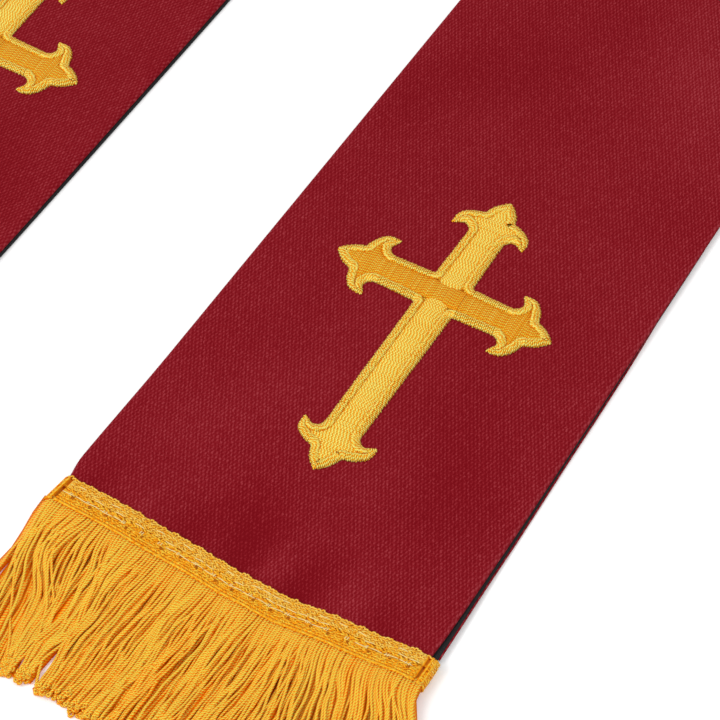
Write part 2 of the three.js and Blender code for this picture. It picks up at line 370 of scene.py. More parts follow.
def add_shell(mesh, over, under, maps):
    """Closed shell between two surfaces of rows by columns by three, which share their maps."""
    points = np.concatenate([over, under[:, ::-1]], 1)
    maps = np.concatenate([maps, maps[:, ::-1]], 1).reshape(-1, 3)
    rings, size = points.shape[:2]
    number = np.arange(rings * size).reshape(rings, size)
    walls = ring_walls(number[:-1], number[1:])
    ends = []
    for ring, step in ((number[0], -1), (number[-1], 1)):
        top, below = ring[:size // 2], ring[size // 2:][::-1]
        ends.append(np.stack([top[:-1], top[1:], below[1:], below[:-1]], -1)[:, ::step])
    ends = np.concatenate(ends)
    mesh.add(points, [walls, ends], [maps[walls], maps[ends]])


# Cloth pieces. Their points are in columns, by distance from an edge, and in rows, closest at the
# fringed end and wide apart where the panel is plain and straight.

EDGE_COLUMNS = np.array([0.0, 0.06, 0.2, 0.45, 0.8, 1.15, 1.5, 2.1, 3.0, 4.2, 5.8, 8.0, 10.5, 13.0])
SEAM_ROWS = np.array([3.0, 2.2, 1.4, 0.7, 0.25, 0.0])
CORNER_ZONE = 60.0
CROSS_ZONE = 290.0
STRAIGHT_STEP = 8.0
NECK_STEP = 4.0
FACE_COLUMNS = 32
FACE_STEP = 1.7
LINING_COLUMNS = 8
LINING_STEP = 4.0

# How far an edge stands out from the cut, in millimetres at each station
FACE_INNER_EDGE = ((0, -1.3), (5, -1.2), (15, 0.0), (1300, 0.0))
FACE_OUTER_EDGE = ((0, -0.9), (6, -0.6), (18, -0.1), (30, 0.0), (1300, 0.0))
LINING_OUTER_EDGE = ((0, 1.2), (12, 1.0), (45, 0.6), (95, 0.2), (150, -0.2), (200, -0.5),
                     (330, 0.1), (520, 0.0), (760, 0.4), (1000, 0.1), (1300, 0.3))
LINING_INNER_EDGE = ((0, -1.6), (9, -1.2), (17, 0.3), (40, 0.4), (110, 0.5), (300, 0.4),
                     (600, 0.1), (900, 0.4), (1300, 0.2))

# How the layers' other edges roll in, as height and reach
FACE_BENEATH_ROLL = (0.25, 0.5)
LINING_TOP_ROLL = (-0.35, 0.6)
LINING_BENEATH_ROLL = (0.2, 0.5)

# Tones of the face: painted shade and light over its creases, darker in their troughs and lighter
# on their ridges, and a painted highlight along its rolled edges, which grows from the inner edge
# to the outer one
CREASE_SHADE_TONE = 0.30
INNER_EDGE_HIGHLIGHT = 0.10
OUTER_EDGE_HIGHLIGHT = 0.36
HIGHLIGHT_GROWS_ACROSS = (20.0, 100.0)
HIGHLIGHT_RISES = (0.1, 0.4)
HIGHLIGHT_FADES = (0.5, 1.2)

# The face's turned-in edge, by station, which draws in beneath the lining where it ends
TURNING_FROM = 9.0
TURNING_ENDS = (120.0, 172.0)
TURNING_RADIUS = 0.30
TURNING_FLATNESS = 0.7
TURNING_HEIGHT = 0.42
TURNING_TONE = 0.2
TURNING_STEP = 1.5


def cloth_stations(near_step):
    stretches = ((0, CORNER_ZONE, near_step), (CORNER_ZONE, CROSS_ZONE, 1.5 * near_step),
                 (CROSS_ZONE, SHOULDER, STRAIGHT_STEP),
                 (SHOULDER, HALF_LENGTH - SEAM_ROWS[0], NECK_STEP))
    rows = [np.arange(low, high, step) for low, high, step in stretches]
    return np.concatenate([*rows, HALF_LENGTH - SEAM_ROWS])


def columns(station, middle_columns, inner_edge, outer_edge):
    """Places across the panel, stations by columns, as cut and with both edges moved outwards."""
    width = panel_width(station)[:, None]
    near = np.broadcast_to(EDGE_COLUMNS, (len(station), len(EDGE_COLUMNS)))
    share = np.linspace(0, 1, middle_columns)[1:-1]
    middle = mix(EDGE_COLUMNS[-1], width - EDGE_COLUMNS[-1], share)
    across = np.concatenate([near, middle, (width - near)[:, ::-1]], 1)
    inner = through_knots(station, inner_edge)[:, None] * (1 - across / width)
    outer = through_knots(station, outer_edge)[:, None] * across / width
    return across, across - inner + outer


def cloth_piece(half, name, material, rows, across, top, beneath, tone):
    flat = np.stack(np.broadcast_arrays(across, rows, tone), -1)
    mesh = Mesh()
    add_shell(mesh, place(half, rows, across, top), place(half, rows, across, beneath), flat)
    return mesh.build(name, material)


def make_face(half, material):
    station = cloth_stations(FACE_STEP)
    cut, across = columns(station, FACE_COLUMNS, FACE_INNER_EDGE, FACE_OUTER_EDGE)
    rows = station[:, None]
    distance = np.maximum(edge_distance(rows, cut), 0.0)
    beneath = FACE_FLOOR + lift(rows, cut) + faded(distance, *FACE_BENEATH_ROLL)
    # Painted highlight along the rolled edges, stronger towards the outer edge
    line = mix(INNER_EDGE_HIGHLIGHT, OUTER_EDGE_HIGHLIGHT, smoothstep(cut, *HIGHLIGHT_GROWS_ACROSS))
    line = line * smoothstep(distance, *HIGHLIGHT_RISES) * (1 - smoothstep(distance, *HIGHLIGHT_FADES))
    # Painted shade and light that follow the creases: darker in their troughs, lighter on their
    # ridges
    folded = CREASE_SHADE_TONE * creases(half, rows, cut) * smoothstep(distance, *CREASES_RISE)
    return cloth_piece(half, f"face_{half.name}", material, rows, across,
                       cloth_top(half, rows, cut), beneath, line + folded)


def make_lining(half, material):
    station = cloth_stations(LINING_STEP)
    cut, across = columns(station, LINING_COLUMNS, LINING_INNER_EDGE, LINING_OUTER_EDGE)
    rows = station[:, None]
    distance = np.maximum(edge_distance(rows, cut), 0.0)
    top = lift(rows, cut) + LINING_TOP + faded(distance, *LINING_TOP_ROLL)
    beneath = lift(rows, cut) + faded(distance, *LINING_BENEATH_ROLL)
    return cloth_piece(half, f"backing_{half.name}", material, rows, across, top, beneath, 0.0)


def make_turning(half, material):
    """The face cloth's turned-in edge, which shows as a fine line under the lining's outer edge."""
    station = np.arange(TURNING_FROM, TURNING_ENDS[1], TURNING_STEP)
    edge = panel_width(station) + through_knots(station, LINING_OUTER_EDGE)
    edge = edge - smoothstep(station, *TURNING_ENDS)
    tall = TURNING_RADIUS * TURNING_FLATNESS
    paths = place(half, station, edge + tall, TURNING_HEIGHT + lift(station, panel_width(station)))
    mesh = Mesh()
    add_tubes(mesh, paths[None], TURNING_RADIUS, tall, 6, 0.0, tone=TURNING_TONE)
    return mesh.build(f"turning_{half.name}", material)


# Embroidered cross

# One side of an arm's end, from its tip to the beam: a pointed petal, then a curled one.
# Each row is a curve that bends towards its pull point, as distances from the tip and across.
Petal = namedtuple("Petal", "pull_from_tip pull_across from_tip across")
PETALS = (
    Petal(3.2, 4.3, 7.0, 4.8),
    Petal(7.6, 8.6, 9.6, 10.6),
    Petal(11.2, 12.6, 15.0, 11.9),
    Petal(14.4, 10.3, 13.4, 9.2),
    Petal(13.2, 6.9, 15.6, 5.8),
)
ARMS = ((CROSS_TOP_ARM, 0), (CROSS_SIDE_ARM, -90), (CROSS_FOOT_ARM, 180), (CROSS_SIDE_ARM, 90))


def curve(start, pull, end, steps=10):
    share = np.linspace(0, 1, steps + 1)[1:, None]
    return (1 - share) ** 2 * start + 2 * share * (1 - share) * pull + share**2 * end


def arm_side():
    """Points from the tip of an arm to its beam, as (from the tip, across)."""
    points = [np.array([[0.0, 0.0]])]
    for petal in PETALS:
        pull = np.array([petal.pull_from_tip, petal.pull_across])
        points.append(curve(points[-1][-1], pull, np.array([petal.from_tip, petal.across])))
    return np.concatenate(points)


def cross_outline():
    """Corners of the cross about its centre, clockwise, with its top arm along +Y."""
    outline = []
    side = arm_side()
    for length, turn in ARMS:
        corner = np.array([[length - CROSS_BEAM / 2, CROSS_BEAM / 2]])
        tip_first = np.concatenate([side, corner])
        both = np.concatenate([tip_first[::-1] * [1, -1], tip_first[1:]])[:-1]
        outline.append(turned(np.stack([both[:, 1], length - both[:, 0]], -1), turn))
    return np.concatenate(outline)


def spaced(outline, pitch):
    """Points at an even pitch along a closed outline, with the direction of the outline there."""
    closed = np.concatenate([outline, outline[:1]])
    run = length_along(closed)
    at = np.arange(0, run[-1], pitch)
    points = np.stack([np.interp(at, run, closed[:, axis]) for axis in (0, 1)], -1)
    return points, unit(np.roll(points, -1, 0) - np.roll(points, 1, 0))


def distance_to(outline, points):
    """Shortest way from each point to the outline."""
    fine, _ = spaced(outline, OUTLINE_STEP)
    flat = points.reshape(-1, 2)
    found = [np.linalg.norm(part[:, None] - fine, axis=-1).min(1)
             for part in np.array_split(flat, max(len(flat) // POINTS_AT_ONCE, 1))]
    return np.concatenate(found).reshape(points.shape[:-1])


def cross_place(half, points, height):
    """Cross sizes to a place on the panel, standing height above the cloth there."""
    moved = turned(points, half.cross_turn)
    station = CROSS_STATION + moved[..., 1]
    across = half.cross_across + half.side * moved[..., 0]
    return place(half, station, across, cloth_top(half, station, across) + height)


# Border stitches: one more stands at each further turn of the outline, in degrees, beyond the
# slight turn of a curve. They lean along the outline, and every second one stands out as a tooth.
CROSS_SEED = 12
OUTLINE_STEP = 0.25
POINTS_AT_ONCE = 2000
CORNER_TURN = 12.0
CURVE_TURN = 1.5
STITCH_LEAN = 0.3
STITCH_TOOTH = 0.16
LEAST_STITCH = 0.5
FULL_HEIGHT_WIDTH = 2.2
SEARCH_STEP = 0.1
SEARCH_FROM = 0.3
SEARCH_SLACK = 0.12
STITCH_WIDTHS_VARY = (-0.12, 0.10)
STITCH_TEETH_VARY = (-0.08, 0.12)
STITCH_HEIGHT_JITTER = 0.07
STITCH_TONE_JITTER = 0.10
STITCH_FLATNESS = 0.9

# A border stitch over its way in from the outline: its height as a share of the ridge, and tone,
# which is painted light and shade: lighter on the outer slope, a dark and then a pale painted line
# along the crest, and painted shade down the inner slope
Stretch = namedtuple("Stretch", "share height tone")
BORDER_HEIGHTS_AND_PAINTED_LIGHT = (
    Stretch(0.0, 0.06, 0.10),
    Stretch(0.12, 0.45, 0.16),
    Stretch(0.28, 0.76, 0.10),
    Stretch(0.46, 0.94, -0.06),
    Stretch(0.58, 1.0, -0.22),
    Stretch(0.70, 1.0, 0.50),
    Stretch(0.82, 0.86, 0.10),
    Stretch(0.90, 0.58, -0.50),
    Stretch(1.0, 0.25, -0.50),
)

# Satin rows that fill the arms. Their ends lie under the border, and the bar's rows lie over the
# beam's. Beam and bar have their own tones, because their rows catch the light differently.
FILL_POINTS = 15
FILL_TO_TIP = 2.2
FILL_REACH = 9.0
FILL_UNDER_BORDER = 0.55
FILL_HALF_WIDTH = CROSS_BEAM / 2 - BORDER_WIDTH + 0.45
SHORTEST_FILL = 1.2
FILL_SLANT = 0.5
FILL_END_HEIGHT = 0.28
# The rows darken towards their ends, as painted shade where they run under the border
FILL_END_SHADE = -0.30
FILL_WIDE = 1.05
FILL_RISE_JITTER = 0.04
FILL_HEIGHT_JITTER = 0.03
FILL_TONE_JITTER = 0.06
BAR_OVER_BEAM = 0.24
BAR_STARTS = ((-90, 1.4), (90, -1.6))
BEAM_TONE = 0.08
BAR_TONE = -0.34

# Padding beneath the stitches, its tone darkened as painted shade in the gaps between them
PADDING_INSET = 0.35
PADDING_TOP = 0.32
PADDING_FLOOR = -0.15
PADDING_SHADE_MAP = (TOP_TURN, 0.0, -0.3)
PADDING_STEP = 1.0


def border_stitches(outline, random):
    """Outer ends, inner ends and widths of the satin stitches round the outline."""
    points, ahead = spaced(outline, BORDER_PITCH)
    ways_in = turned(ahead, -90)
    next_points, next_ways = np.roll(points, -1, 0), np.roll(ways_in, -1, 0)
    turns = np.degrees(np.arctan2(np.cross(ways_in, next_ways), (ways_in * next_ways).sum(1)))
    starts, ways = [], []
    for i, turn in enumerate(turns):
        parts = 1 + math.ceil(max(turn - CURVE_TURN, 0.0) / CORNER_TURN)
        for share in np.arange(parts) / parts:
            starts.append(mix(points[i], next_points[i], share))
            ways.append(mix(ways_in[i], next_ways[i], share))
    starts, ways = np.array(starts), unit(np.array(ways))
    reach = np.arange(SEARCH_FROM, BORDER_WIDTH + SEARCH_STEP / 2, SEARCH_STEP)
    tested = starts[:, None] + ways[:, None] * reach[:, None]
    open_yet = np.cumprod(distance_to(outline, tested) > reach - SEARCH_SLACK, axis=1)
    width = open_yet.sum(1) * SEARCH_STEP + SEARCH_FROM - SEARCH_STEP
    width = np.clip(width, LEAST_STITCH, BORDER_WIDTH)
    width = width + random.uniform(*STITCH_WIDTHS_VARY, len(width))
    tooth = STITCH_TOOTH * (np.arange(len(width)) % 2)
    tooth = tooth + random.uniform(*STITCH_TEETH_VARY, len(width))
    inner = starts + ways * width[:, None] + turned(ways, 90) * STITCH_LEAN
    return starts - ways * tooth[:, None], inner, width


def fill_intervals(outline, length, low):
    """Rows across an arm that points up: their height along it and where each begins and ends."""
    along = np.arange(low, length - FILL_TO_TIP, FILL_PITCH)
    across = np.arange(0, FILL_REACH, SEARCH_STEP)
    ends = []
    for side in (-1, 1):
        grid = np.stack(np.broadcast_arrays(side * across, along[:, None]), -1)
        inside = distance_to(outline, grid) > BORDER_WIDTH - FILL_UNDER_BORDER
        reach = np.cumprod(inside, axis=1).sum(1) * SEARCH_STEP
        crossing = np.abs(along) < CROSS_BEAM
        ends.append(side * np.where(crossing, np.minimum(reach, FILL_HALF_WIDTH), reach))
    return along, *ends


def add_fill(mesh, half, outline, random, length, low, turn, first, tone):
    """Satin rows that fill an arm. turn is the arm's direction in degrees from +Y."""
    along, left, right = fill_intervals(turned(outline, -turn), length, low)
    kept = right - left > SHORTEST_FILL
    along, left, right = along[kept], left[kept], right[kept]
    count = len(along)
    share = np.linspace(0, 1, FILL_POINTS)
    off_middle = np.abs(2 * share - 1)
    across = mix(left[:, None], right[:, None], share)
    rise = along[:, None] + FILL_SLANT * (share - 0.5)
    rise = rise + jitter(random, FILL_RISE_JITTER, count, 1)
    height = mix(FILL_HEIGHT, FILL_END_HEIGHT, off_middle**3)
    height = height + jitter(random, FILL_HEIGHT_JITTER, count, 1)
    if turn:
        height = height + BAR_OVER_BEAM * (np.abs(along) < CROSS_BEAM / 2)[:, None]
    paths = cross_place(half, turned(np.stack([across, rise], -1), turn), height)
    tones = tone + FILL_END_SHADE * off_middle**6 + jitter(random, FILL_TONE_JITTER, count, 1)
    add_tubes(mesh, paths, FILL_RADIUS * FILL_WIDE, FILL_RADIUS * FLATNESS, first=first, tone=tones)
    return first + count


def add_padding(mesh, half, outline):
    """Low padding beneath the stitches, so that no cloth shows between them. Its darker tone is
    painted shade.
    """
    corners, ahead = spaced(outline, PADDING_STEP)
    corners = corners + turned(ahead, -90) * PADDING_INSET
    faces = np.array(tessellate_polygon([[Vector((x, y, 0)) for x, y in corners]]))
    ring = np.arange(len(corners))
    points = np.concatenate([cross_place(half, corners, height)
                             for height in (PADDING_TOP, PADDING_FLOOR)])
    blocks = [faces[:, ::-1], faces + len(corners), ring_walls(ring, ring + len(corners))]
    mesh.add(points, blocks, [np.broadcast_to(PADDING_SHADE_MAP, block.shape + (3,)) for block in blocks])


def make_cross(half, material):
    outline = cross_outline()
    random = draws(half, CROSS_SEED)
    mesh = Mesh()
    outer, inner, width = border_stitches(outline, random)
    share, profile, tone = np.array(BORDER_HEIGHTS_AND_PAINTED_LIGHT).T
    full = BORDER_RIDGE * np.minimum(width / FULL_HEIGHT_WIDTH, 1.0)
    full = full + jitter(random, STITCH_HEIGHT_JITTER, len(width))
    flat = mix(outer[:, None], inner[:, None], share[:, None])
    paths = cross_place(half, flat, profile * full[:, None])
    tones = tone + jitter(random, STITCH_TONE_JITTER, len(width), 1)
    add_tubes(mesh, paths, BORDER_RADIUS, BORDER_RADIUS * STITCH_FLATNESS, tone=tones)
    first = add_fill(mesh, half, outline, random, CROSS_TOP_ARM, FILL_TO_TIP - CROSS_FOOT_ARM, 0,
                     len(width), BEAM_TONE)
    for turn, start in BAR_STARTS:
        first = add_fill(mesh, half, outline, random, CROSS_SIDE_ARM, start, turn, first, BAR_TONE)
    add_padding(mesh, half, outline)
    return mesh.build(f"embroidery_{half.name}", material)


# Braid: its place is run, along it from the middle of the panel, rise, up from its lower edge,
# and out, above the cloth that it lies on

BRAID_SEED = 40
BRAID_SAG = ((-1.0, -0.4), (1.9, 0.5), (35, 0.0), (70, -1.7), (96, -0.5), (118.0, 1.0),
             (121.6, 0.9))
# Its line across the end: where it begins, how it follows the cloth and its creases, how high it
# runs beneath, and how round its bends are. Its points are counted over the face, round a bend, on
# a tab, and beside a fold, where the strands start no higher than further in.
BRAID_INNER_END = 0.9
BRAID_INSET = 1.2
BRAID_CLEARANCE = 0.12
BRAID_CREASE_SHARE = 0.5
BRAID_CREASE_STATION = 6.0
TAB_HEIGHT = BRAID_WALL + 0.5
BEND_ROUNDNESS = 0.7
FACE_POINTS = 480
BEND_POINTS = 13
TAB_POINTS = 7
FOLD_POINTS = 14

# How far in the inner bend's lean fades, and the grooves along the folds, darkened with painted
# shade
LEAN_ENDS_ACROSS = (1.0, 14.0)
GROOVE_HALF_WIDTH = 0.42
GROOVE_SHADE_TONE = -1.3


def braid_line(half):
    """The braid's line over the end of the panel and round both edges, in a plane across it."""
    across = np.linspace(BRAID_INNER_END, END_WIDTH, FACE_POINTS)
    inside = np.clip(across, BRAID_INSET, END_WIDTH - BRAID_INSET)
    height = FACE_TOP + RIM_HEIGHT + BRAID_CLEARANCE + lift(0.0, inside)
    height = height + BRAID_CREASE_SHARE * creases(half, BRAID_CREASE_STATION, inside)
    turns = []
    for edge, top, bulge in ((across[0], height[0], -INNER_BULGE),
                             (across[-1], height[-1], OUTER_BULGE)):
        angle = np.linspace(0, math.pi, BEND_POINTS + 1)[1:]
        tab = np.linspace(0, BRAID_TAB, TAB_POINTS + 1)[1:]
        bend = np.stack([edge + bulge * np.sin(angle) ** BEND_ROUNDNESS,
                         mix(TAB_HEIGHT, top, (1 + np.cos(angle)) / 2)], -1)
        beneath = np.stack([edge - np.sign(bulge) * tab, np.full(TAB_POINTS, TAB_HEIGHT)], -1)
        turns.append(np.concatenate([bend, beneath]))
    line = np.concatenate([turns[0][::-1], np.stack([across, height], -1), turns[1]])
    run = length_along(line)
    return run - run[-1] / 2, line, turned(unit(np.gradient(line, axis=0)), 90)


class Braid:
    def __init__(self, half):
        self.half = half
        self.run, self.line, self.out = braid_line(half)
        self.reach = self.run[-1]
        self.top = slice(BEND_POINTS + TAB_POINTS, -BEND_POINTS - TAB_POINTS)

    def at(self, run, rise, out):
        """Points of the braid in metres, and the directions out of its face."""
        run, rise, out = np.broadcast_arrays(run, rise, out)
        across, height, side, up = (np.interp(run, self.run, column) for column in
                                    (*self.line.T, *self.out.T))
        over = END_WIDTH - across if self.half.flip else across
        station = BRAID_FROM + through_knots(over, BRAID_SAG) + rise
        leaned = INNER_LEAN * rise * (1 - smoothstep(across, *LEAN_ENDS_ACROSS))
        points = place(self.half, station, across + leaned + side * out, height + up * out)
        return points, unit(np.stack([self.half.side * side, np.zeros(run.shape), up], -1))

    def top_height(self, across):
        """Height of the braid's line over the face, level beyond it near the folds."""
        over = slice(self.top.start + FOLD_POINTS, self.top.stop - FOLD_POINTS)
        return np.interp(across, self.line[over, 0], self.line[over, 1])

    def add(self, mesh, run, rise, out, wide, high, first, tone=0.0, sides=4):
        """Adds threads along places on the braid. Those with six sides are cords."""
        points, normals = self.at(run, rise, out)
        turn = math.pi / 4 if sides == 4 else 0.0
        add_tubes(mesh, points, wide, high, sides, turn, normals, first, tone)
        return first + len(points)

    def fold_runs(self):
        """Where along the braid its two folds are."""
        return np.interp(FOLDS, self.line[self.top, 0], self.run[self.top])

    def fold_distance(self, run):
        """How far a place is from the nearer fold."""
        across = np.interp(run, self.run, self.line[:, 0])
        return np.minimum(*(np.abs(across - fold) for fold in FOLDS))

    def groove(self, run):
        """Share of the full depth of the folds' grooves at a place, which also sets how much of
        their painted shade it has.
        """
        return np.exp(-(self.fold_distance(run) / GROOVE_HALF_WIDTH) ** 2)


# Ripples along the braid, with radians for each millimetre
Ripple = namedtuple("Ripple", "height per_millimetre start")

# The braid's ground: its lower edge, its lace's lower edge and its top, how far out it stands over
# its rise, how much of that the grooves take, and its tone, a little darker than the stitches as
# painted shade between them
BRAID_BOTTOM = 0.25
LACE_FROM = 5.6
BRAID_TOP = 9.1
BODY_OUT = np.array([0.45, 0.60, 0.62, 0.60, 0.45])
BODY_GROOVE = 0.85
BODY_SHADE_TONE = -0.08
BODY_RINGS = 360

# Cords along its lower edge, and up beside its folds
Cord = namedtuple("Cord", "rise radius out")
CORDS = (Cord(0.45, 0.50, 0.52), Cord(1.40, 0.40, 0.50))
CORD_GROOVE = 0.55
CORD_STEP = 0.5
EDGE_CORD_PLACES = (0.85, 1.6)
EDGE_CORD_FROM = -0.1
EDGE_CORD_POINTS = 16
EDGE_CORD_OUT = 0.62
EDGE_CORD_SIZE = (0.42, 0.32)

# Rows of stitches over the face of the braid, from its cords to its lacy upper edge. They stop
# short of the folds.
Row = namedtuple("Row", "rise radius lean pitch")
GOLD_ROWS = (
    Row(0.42, 0.36, 0.32, 1.05),
    Row(1.42, 0.30, -0.26, 0.95),
    Row(2.20, 0.33, 0.30, 1.10),
    Row(2.85, 0.33, -0.32, 1.05),
    Row(3.45, 0.31, 0.28, 1.15),
    Row(4.40, 0.36, 0.36, 1.25),
    Row(5.05, 0.36, -0.34, 1.20),
)
LACE_ROWS = (
    Row(5.75, 0.32, 0.30, 1.00),
    Row(6.35, 0.30, -0.32, 0.95),
    Row(6.95, 0.31, 0.32, 1.05),
    Row(7.55, 0.30, -0.30, 0.95),
    Row(8.15, 0.31, 0.30, 1.00),
)
ROW_TO_FOLD = 0.55
ROW_STARTS = (0.2, 0.8)
ROW_LENGTHS = (1.1, 1.6)
ROW_LEANS = (-0.9, 0.7)
ROW_TONES = (-0.22, 0.16)
ROW_RISE_JITTER = 0.12
ROW_OUT = 0.58
ROW_ARCH = 0.16
ROW_OUT_JITTER = 0.05

# Hollows of the pattern, shown by dark beads of painted shade, and how far rows near their rise
# part round them
HOLE_RISE = 3.0
HOLE_RISE_JITTER = 0.25
HOLE_FROM_ENDS = 2.0
HOLE_JITTER = 0.6
HOLE_LENGTHS = (0.7, 1.1)
HOLE_SHADE_TONES = (-1.0, -0.75)
HOLE_OUT = 0.90
HOLE_SIZE = (0.42, 0.08)
HOLE_PUSH = 0.6
PUSH_REACH_UP = 0.6
PUSH_REACH_ALONG = 0.12

# Loops along the upper edge
LOOP_PITCH = 1.05
LOOP_JITTER = 0.15
LOOP_RISE = 8.6
LOOP_RIPPLES = (Ripple(0.22, 1.55, 0.0), Ripple(0.14, 0.83, 1.0))
LOOP_HALF_LENGTH = 0.58
LOOP_HEIGHT = 0.45
LOOP_HEIGHTS_VARY = (-0.15, 0.20)
LEAST_LOOP = 0.15
LOOP_OUT = 0.45
LOOP_ARCH = 0.12
LOOP_SIZE = (0.33, 0.26)

# Sewing threads along the braid, with the share of each length that shows, and short tacks
SEWING_SEED = 60
Seam = namedtuple("Seam", "rise length kept")
SEAMS = (Seam(3.92, 4.4, 0.92), Seam(5.55, 3.4, 0.6), Seam(7.3, 3.0, 0.35))
SEWING_SIZE = (0.19, 0.15)
SEWING_FROM_FOLD = 0.7
SEWING_SHARE = 0.93
SEWING_RIPPLE = Ripple(0.14, 0.9, 0.0)
SEWING_JITTER = 0.1
SEWING_OUT = 0.72
SEWING_ARCH = 0.16
SEWING_ROUNDNESS = 0.4
TACK_RISE = 3.5
TACK_SLANT = 0.25
TACK_HEIGHT = 0.95
TACK_OUT = 0.9
TACK_PAIR = 0.7
TACK_FROM_FOLDS = 3.0
TACK_JITTER = 0.2


def rippled(run, ripple):
    return ripple.height * np.sin(run * ripple.per_millimetre + ripple.start)


def make_braid(half, gold, lace):
    braid = Braid(half)
    random = draws(half, BRAID_SEED)
    lower, upper = Mesh(), Mesh()
    add_braid_body(lower, braid, BRAID_BOTTOM, LACE_FROM)
    first = 1
    for cord in CORDS:
        first = add_cord(lower, braid, cord, first)
    first = add_edge_cords(lower, braid, first)
    for row in GOLD_ROWS:
        first = add_row(lower, braid, random, row, first)
    add_hole_shades(lower, braid, random, first)
    add_braid_body(upper, braid, LACE_FROM, BRAID_TOP)
    first = 3
    for row in LACE_ROWS:
        first = add_row(upper, braid, random, row, first)
    add_loops(upper, braid, random, first)
    return braid, lower.build(f"braid_{half.name}", gold), upper.build(f"lace_{half.name}", lace)


def add_braid_body(mesh, braid, low, high):
    """Ground of the braid between two rises, painted a little darker than its stitches as shade
    between them, and darker still with the painted shade of the fold grooves.
    """
    run = np.linspace(-braid.reach, braid.reach, BODY_RINGS)[:, None]
    rise = np.linspace(low, high, len(BODY_OUT))
    groove = braid.groove(run)
    over, _ = braid.at(run, rise, BODY_OUT * (1 - BODY_GROOVE * groove))
    under, _ = braid.at(run, rise, 0.0)
    flat = np.zeros(over.shape)
    flat[..., 0] = TOP_TURN
    flat[..., 2] = GROOVE_SHADE_TONE * groove + BODY_SHADE_TONE
    add_shell(mesh, over, under, flat)


def add_cord(mesh, braid, cord, first):
    run = np.arange(-braid.reach, braid.reach, CORD_STEP)[None]
    groove = braid.groove(run)
    return braid.add(mesh, run, cord.rise, cord.out - CORD_GROOVE * groove, cord.radius,
                     cord.radius * FLATNESS, first, GROOVE_SHADE_TONE * groove, 6)


def add_edge_cords(mesh, braid, first):
    """Cords up both folded edges of the braid, outside its folds."""
    rise = np.linspace(EDGE_CORD_FROM, BRAID_TOP, EDGE_CORD_POINTS)[None]
    for run, way in zip(braid.fold_runs(), (-1, 1)):
        for distance in EDGE_CORD_PLACES:
            first = braid.add(mesh, run + way * distance, rise, EDGE_CORD_OUT, *EDGE_CORD_SIZE,
                              first, sides=6)
    return first


def add_hole_shades(mesh, braid, random, first):
    """Dark beads of painted shade over the braid, where its pattern has a hollow, one in every
    repeat.
    """
    end = braid.reach - HOLE_FROM_ENDS
    middle = np.arange(-end, end, BRAID_REPEAT)
    middle = middle + jitter(random, HOLE_JITTER, len(middle))
    length = random.uniform(*HOLE_LENGTHS, (len(middle), 1))
    run = middle[:, None] + length * np.linspace(-0.5, 0.5, 4)
    rise = HOLE_RISE + jitter(random, HOLE_RISE_JITTER, len(middle), 1)
    tone = random.uniform(*HOLE_SHADE_TONES, (len(middle), 1))
    braid.add(mesh, run, rise, HOLE_OUT, *HOLE_SIZE, first, tone, 6)


def add_row(mesh, braid, random, row, first):
    """Short slanted stitches in a row. Once in every repeat two of them part round a hollow."""
    count = int(2 * braid.reach / row.pitch) - 1
    start = -braid.reach + row.pitch * (np.arange(count) + random.uniform(*ROW_STARTS, count))
    share = np.linspace(0, 1, 4)
    length = row.pitch * random.uniform(*ROW_LENGTHS, (count, 1))
    run = start[:, None] + length * (share - 0.5)
    phase = (run / BRAID_REPEAT) % 1.0 - 0.5
    push = HOLE_PUSH * np.exp(-((row.rise - HOLE_RISE) / PUSH_REACH_UP) ** 2)
    run = run + push * np.sign(phase) * np.exp(-(phase / PUSH_REACH_ALONG) ** 2)
    lean = row.lean * (1 + random.uniform(*ROW_LEANS, (count, 1)))
    up = row.rise + lean * (2 * share - 1) + jitter(random, ROW_RISE_JITTER, count, 1)
    out = ROW_OUT + ROW_ARCH * np.sin(np.pi * share) + jitter(random, ROW_OUT_JITTER, count, 1)
    tones = GROOVE_SHADE_TONE * braid.groove(run) + random.uniform(*ROW_TONES, (count, 1))
    kept = braid.fold_distance(run).min(1) > ROW_TO_FOLD
    run = np.clip(run[kept], -braid.reach, braid.reach)
    return braid.add(mesh, run, up[kept], out[kept], row.radius, row.radius * FLATNESS, first,
                     tones[kept])


def add_loops(mesh, braid, random, first):
    """Small loops along the gently wavy upper edge."""
    count = int(2 * braid.reach / LOOP_PITCH) - 1
    start = -braid.reach + LOOP_PITCH * (np.arange(count) + 0.5)
    start = start + jitter(random, LOOP_JITTER, count)
    wave = sum(rippled(start, ripple) for ripple in LOOP_RIPPLES)
    angle = np.linspace(0, np.pi, 6)
    size = (LOOP_HEIGHT + wave)[:, None] + random.uniform(*LOOP_HEIGHTS_VARY, (count, 1))
    run = start[:, None] - LOOP_HALF_LENGTH * np.cos(angle)
    rise = LOOP_RISE + np.maximum(size, LEAST_LOOP) * np.sin(angle)
    braid.add(mesh, run, rise, LOOP_OUT + LOOP_ARCH * np.sin(angle), *LOOP_SIZE, first)


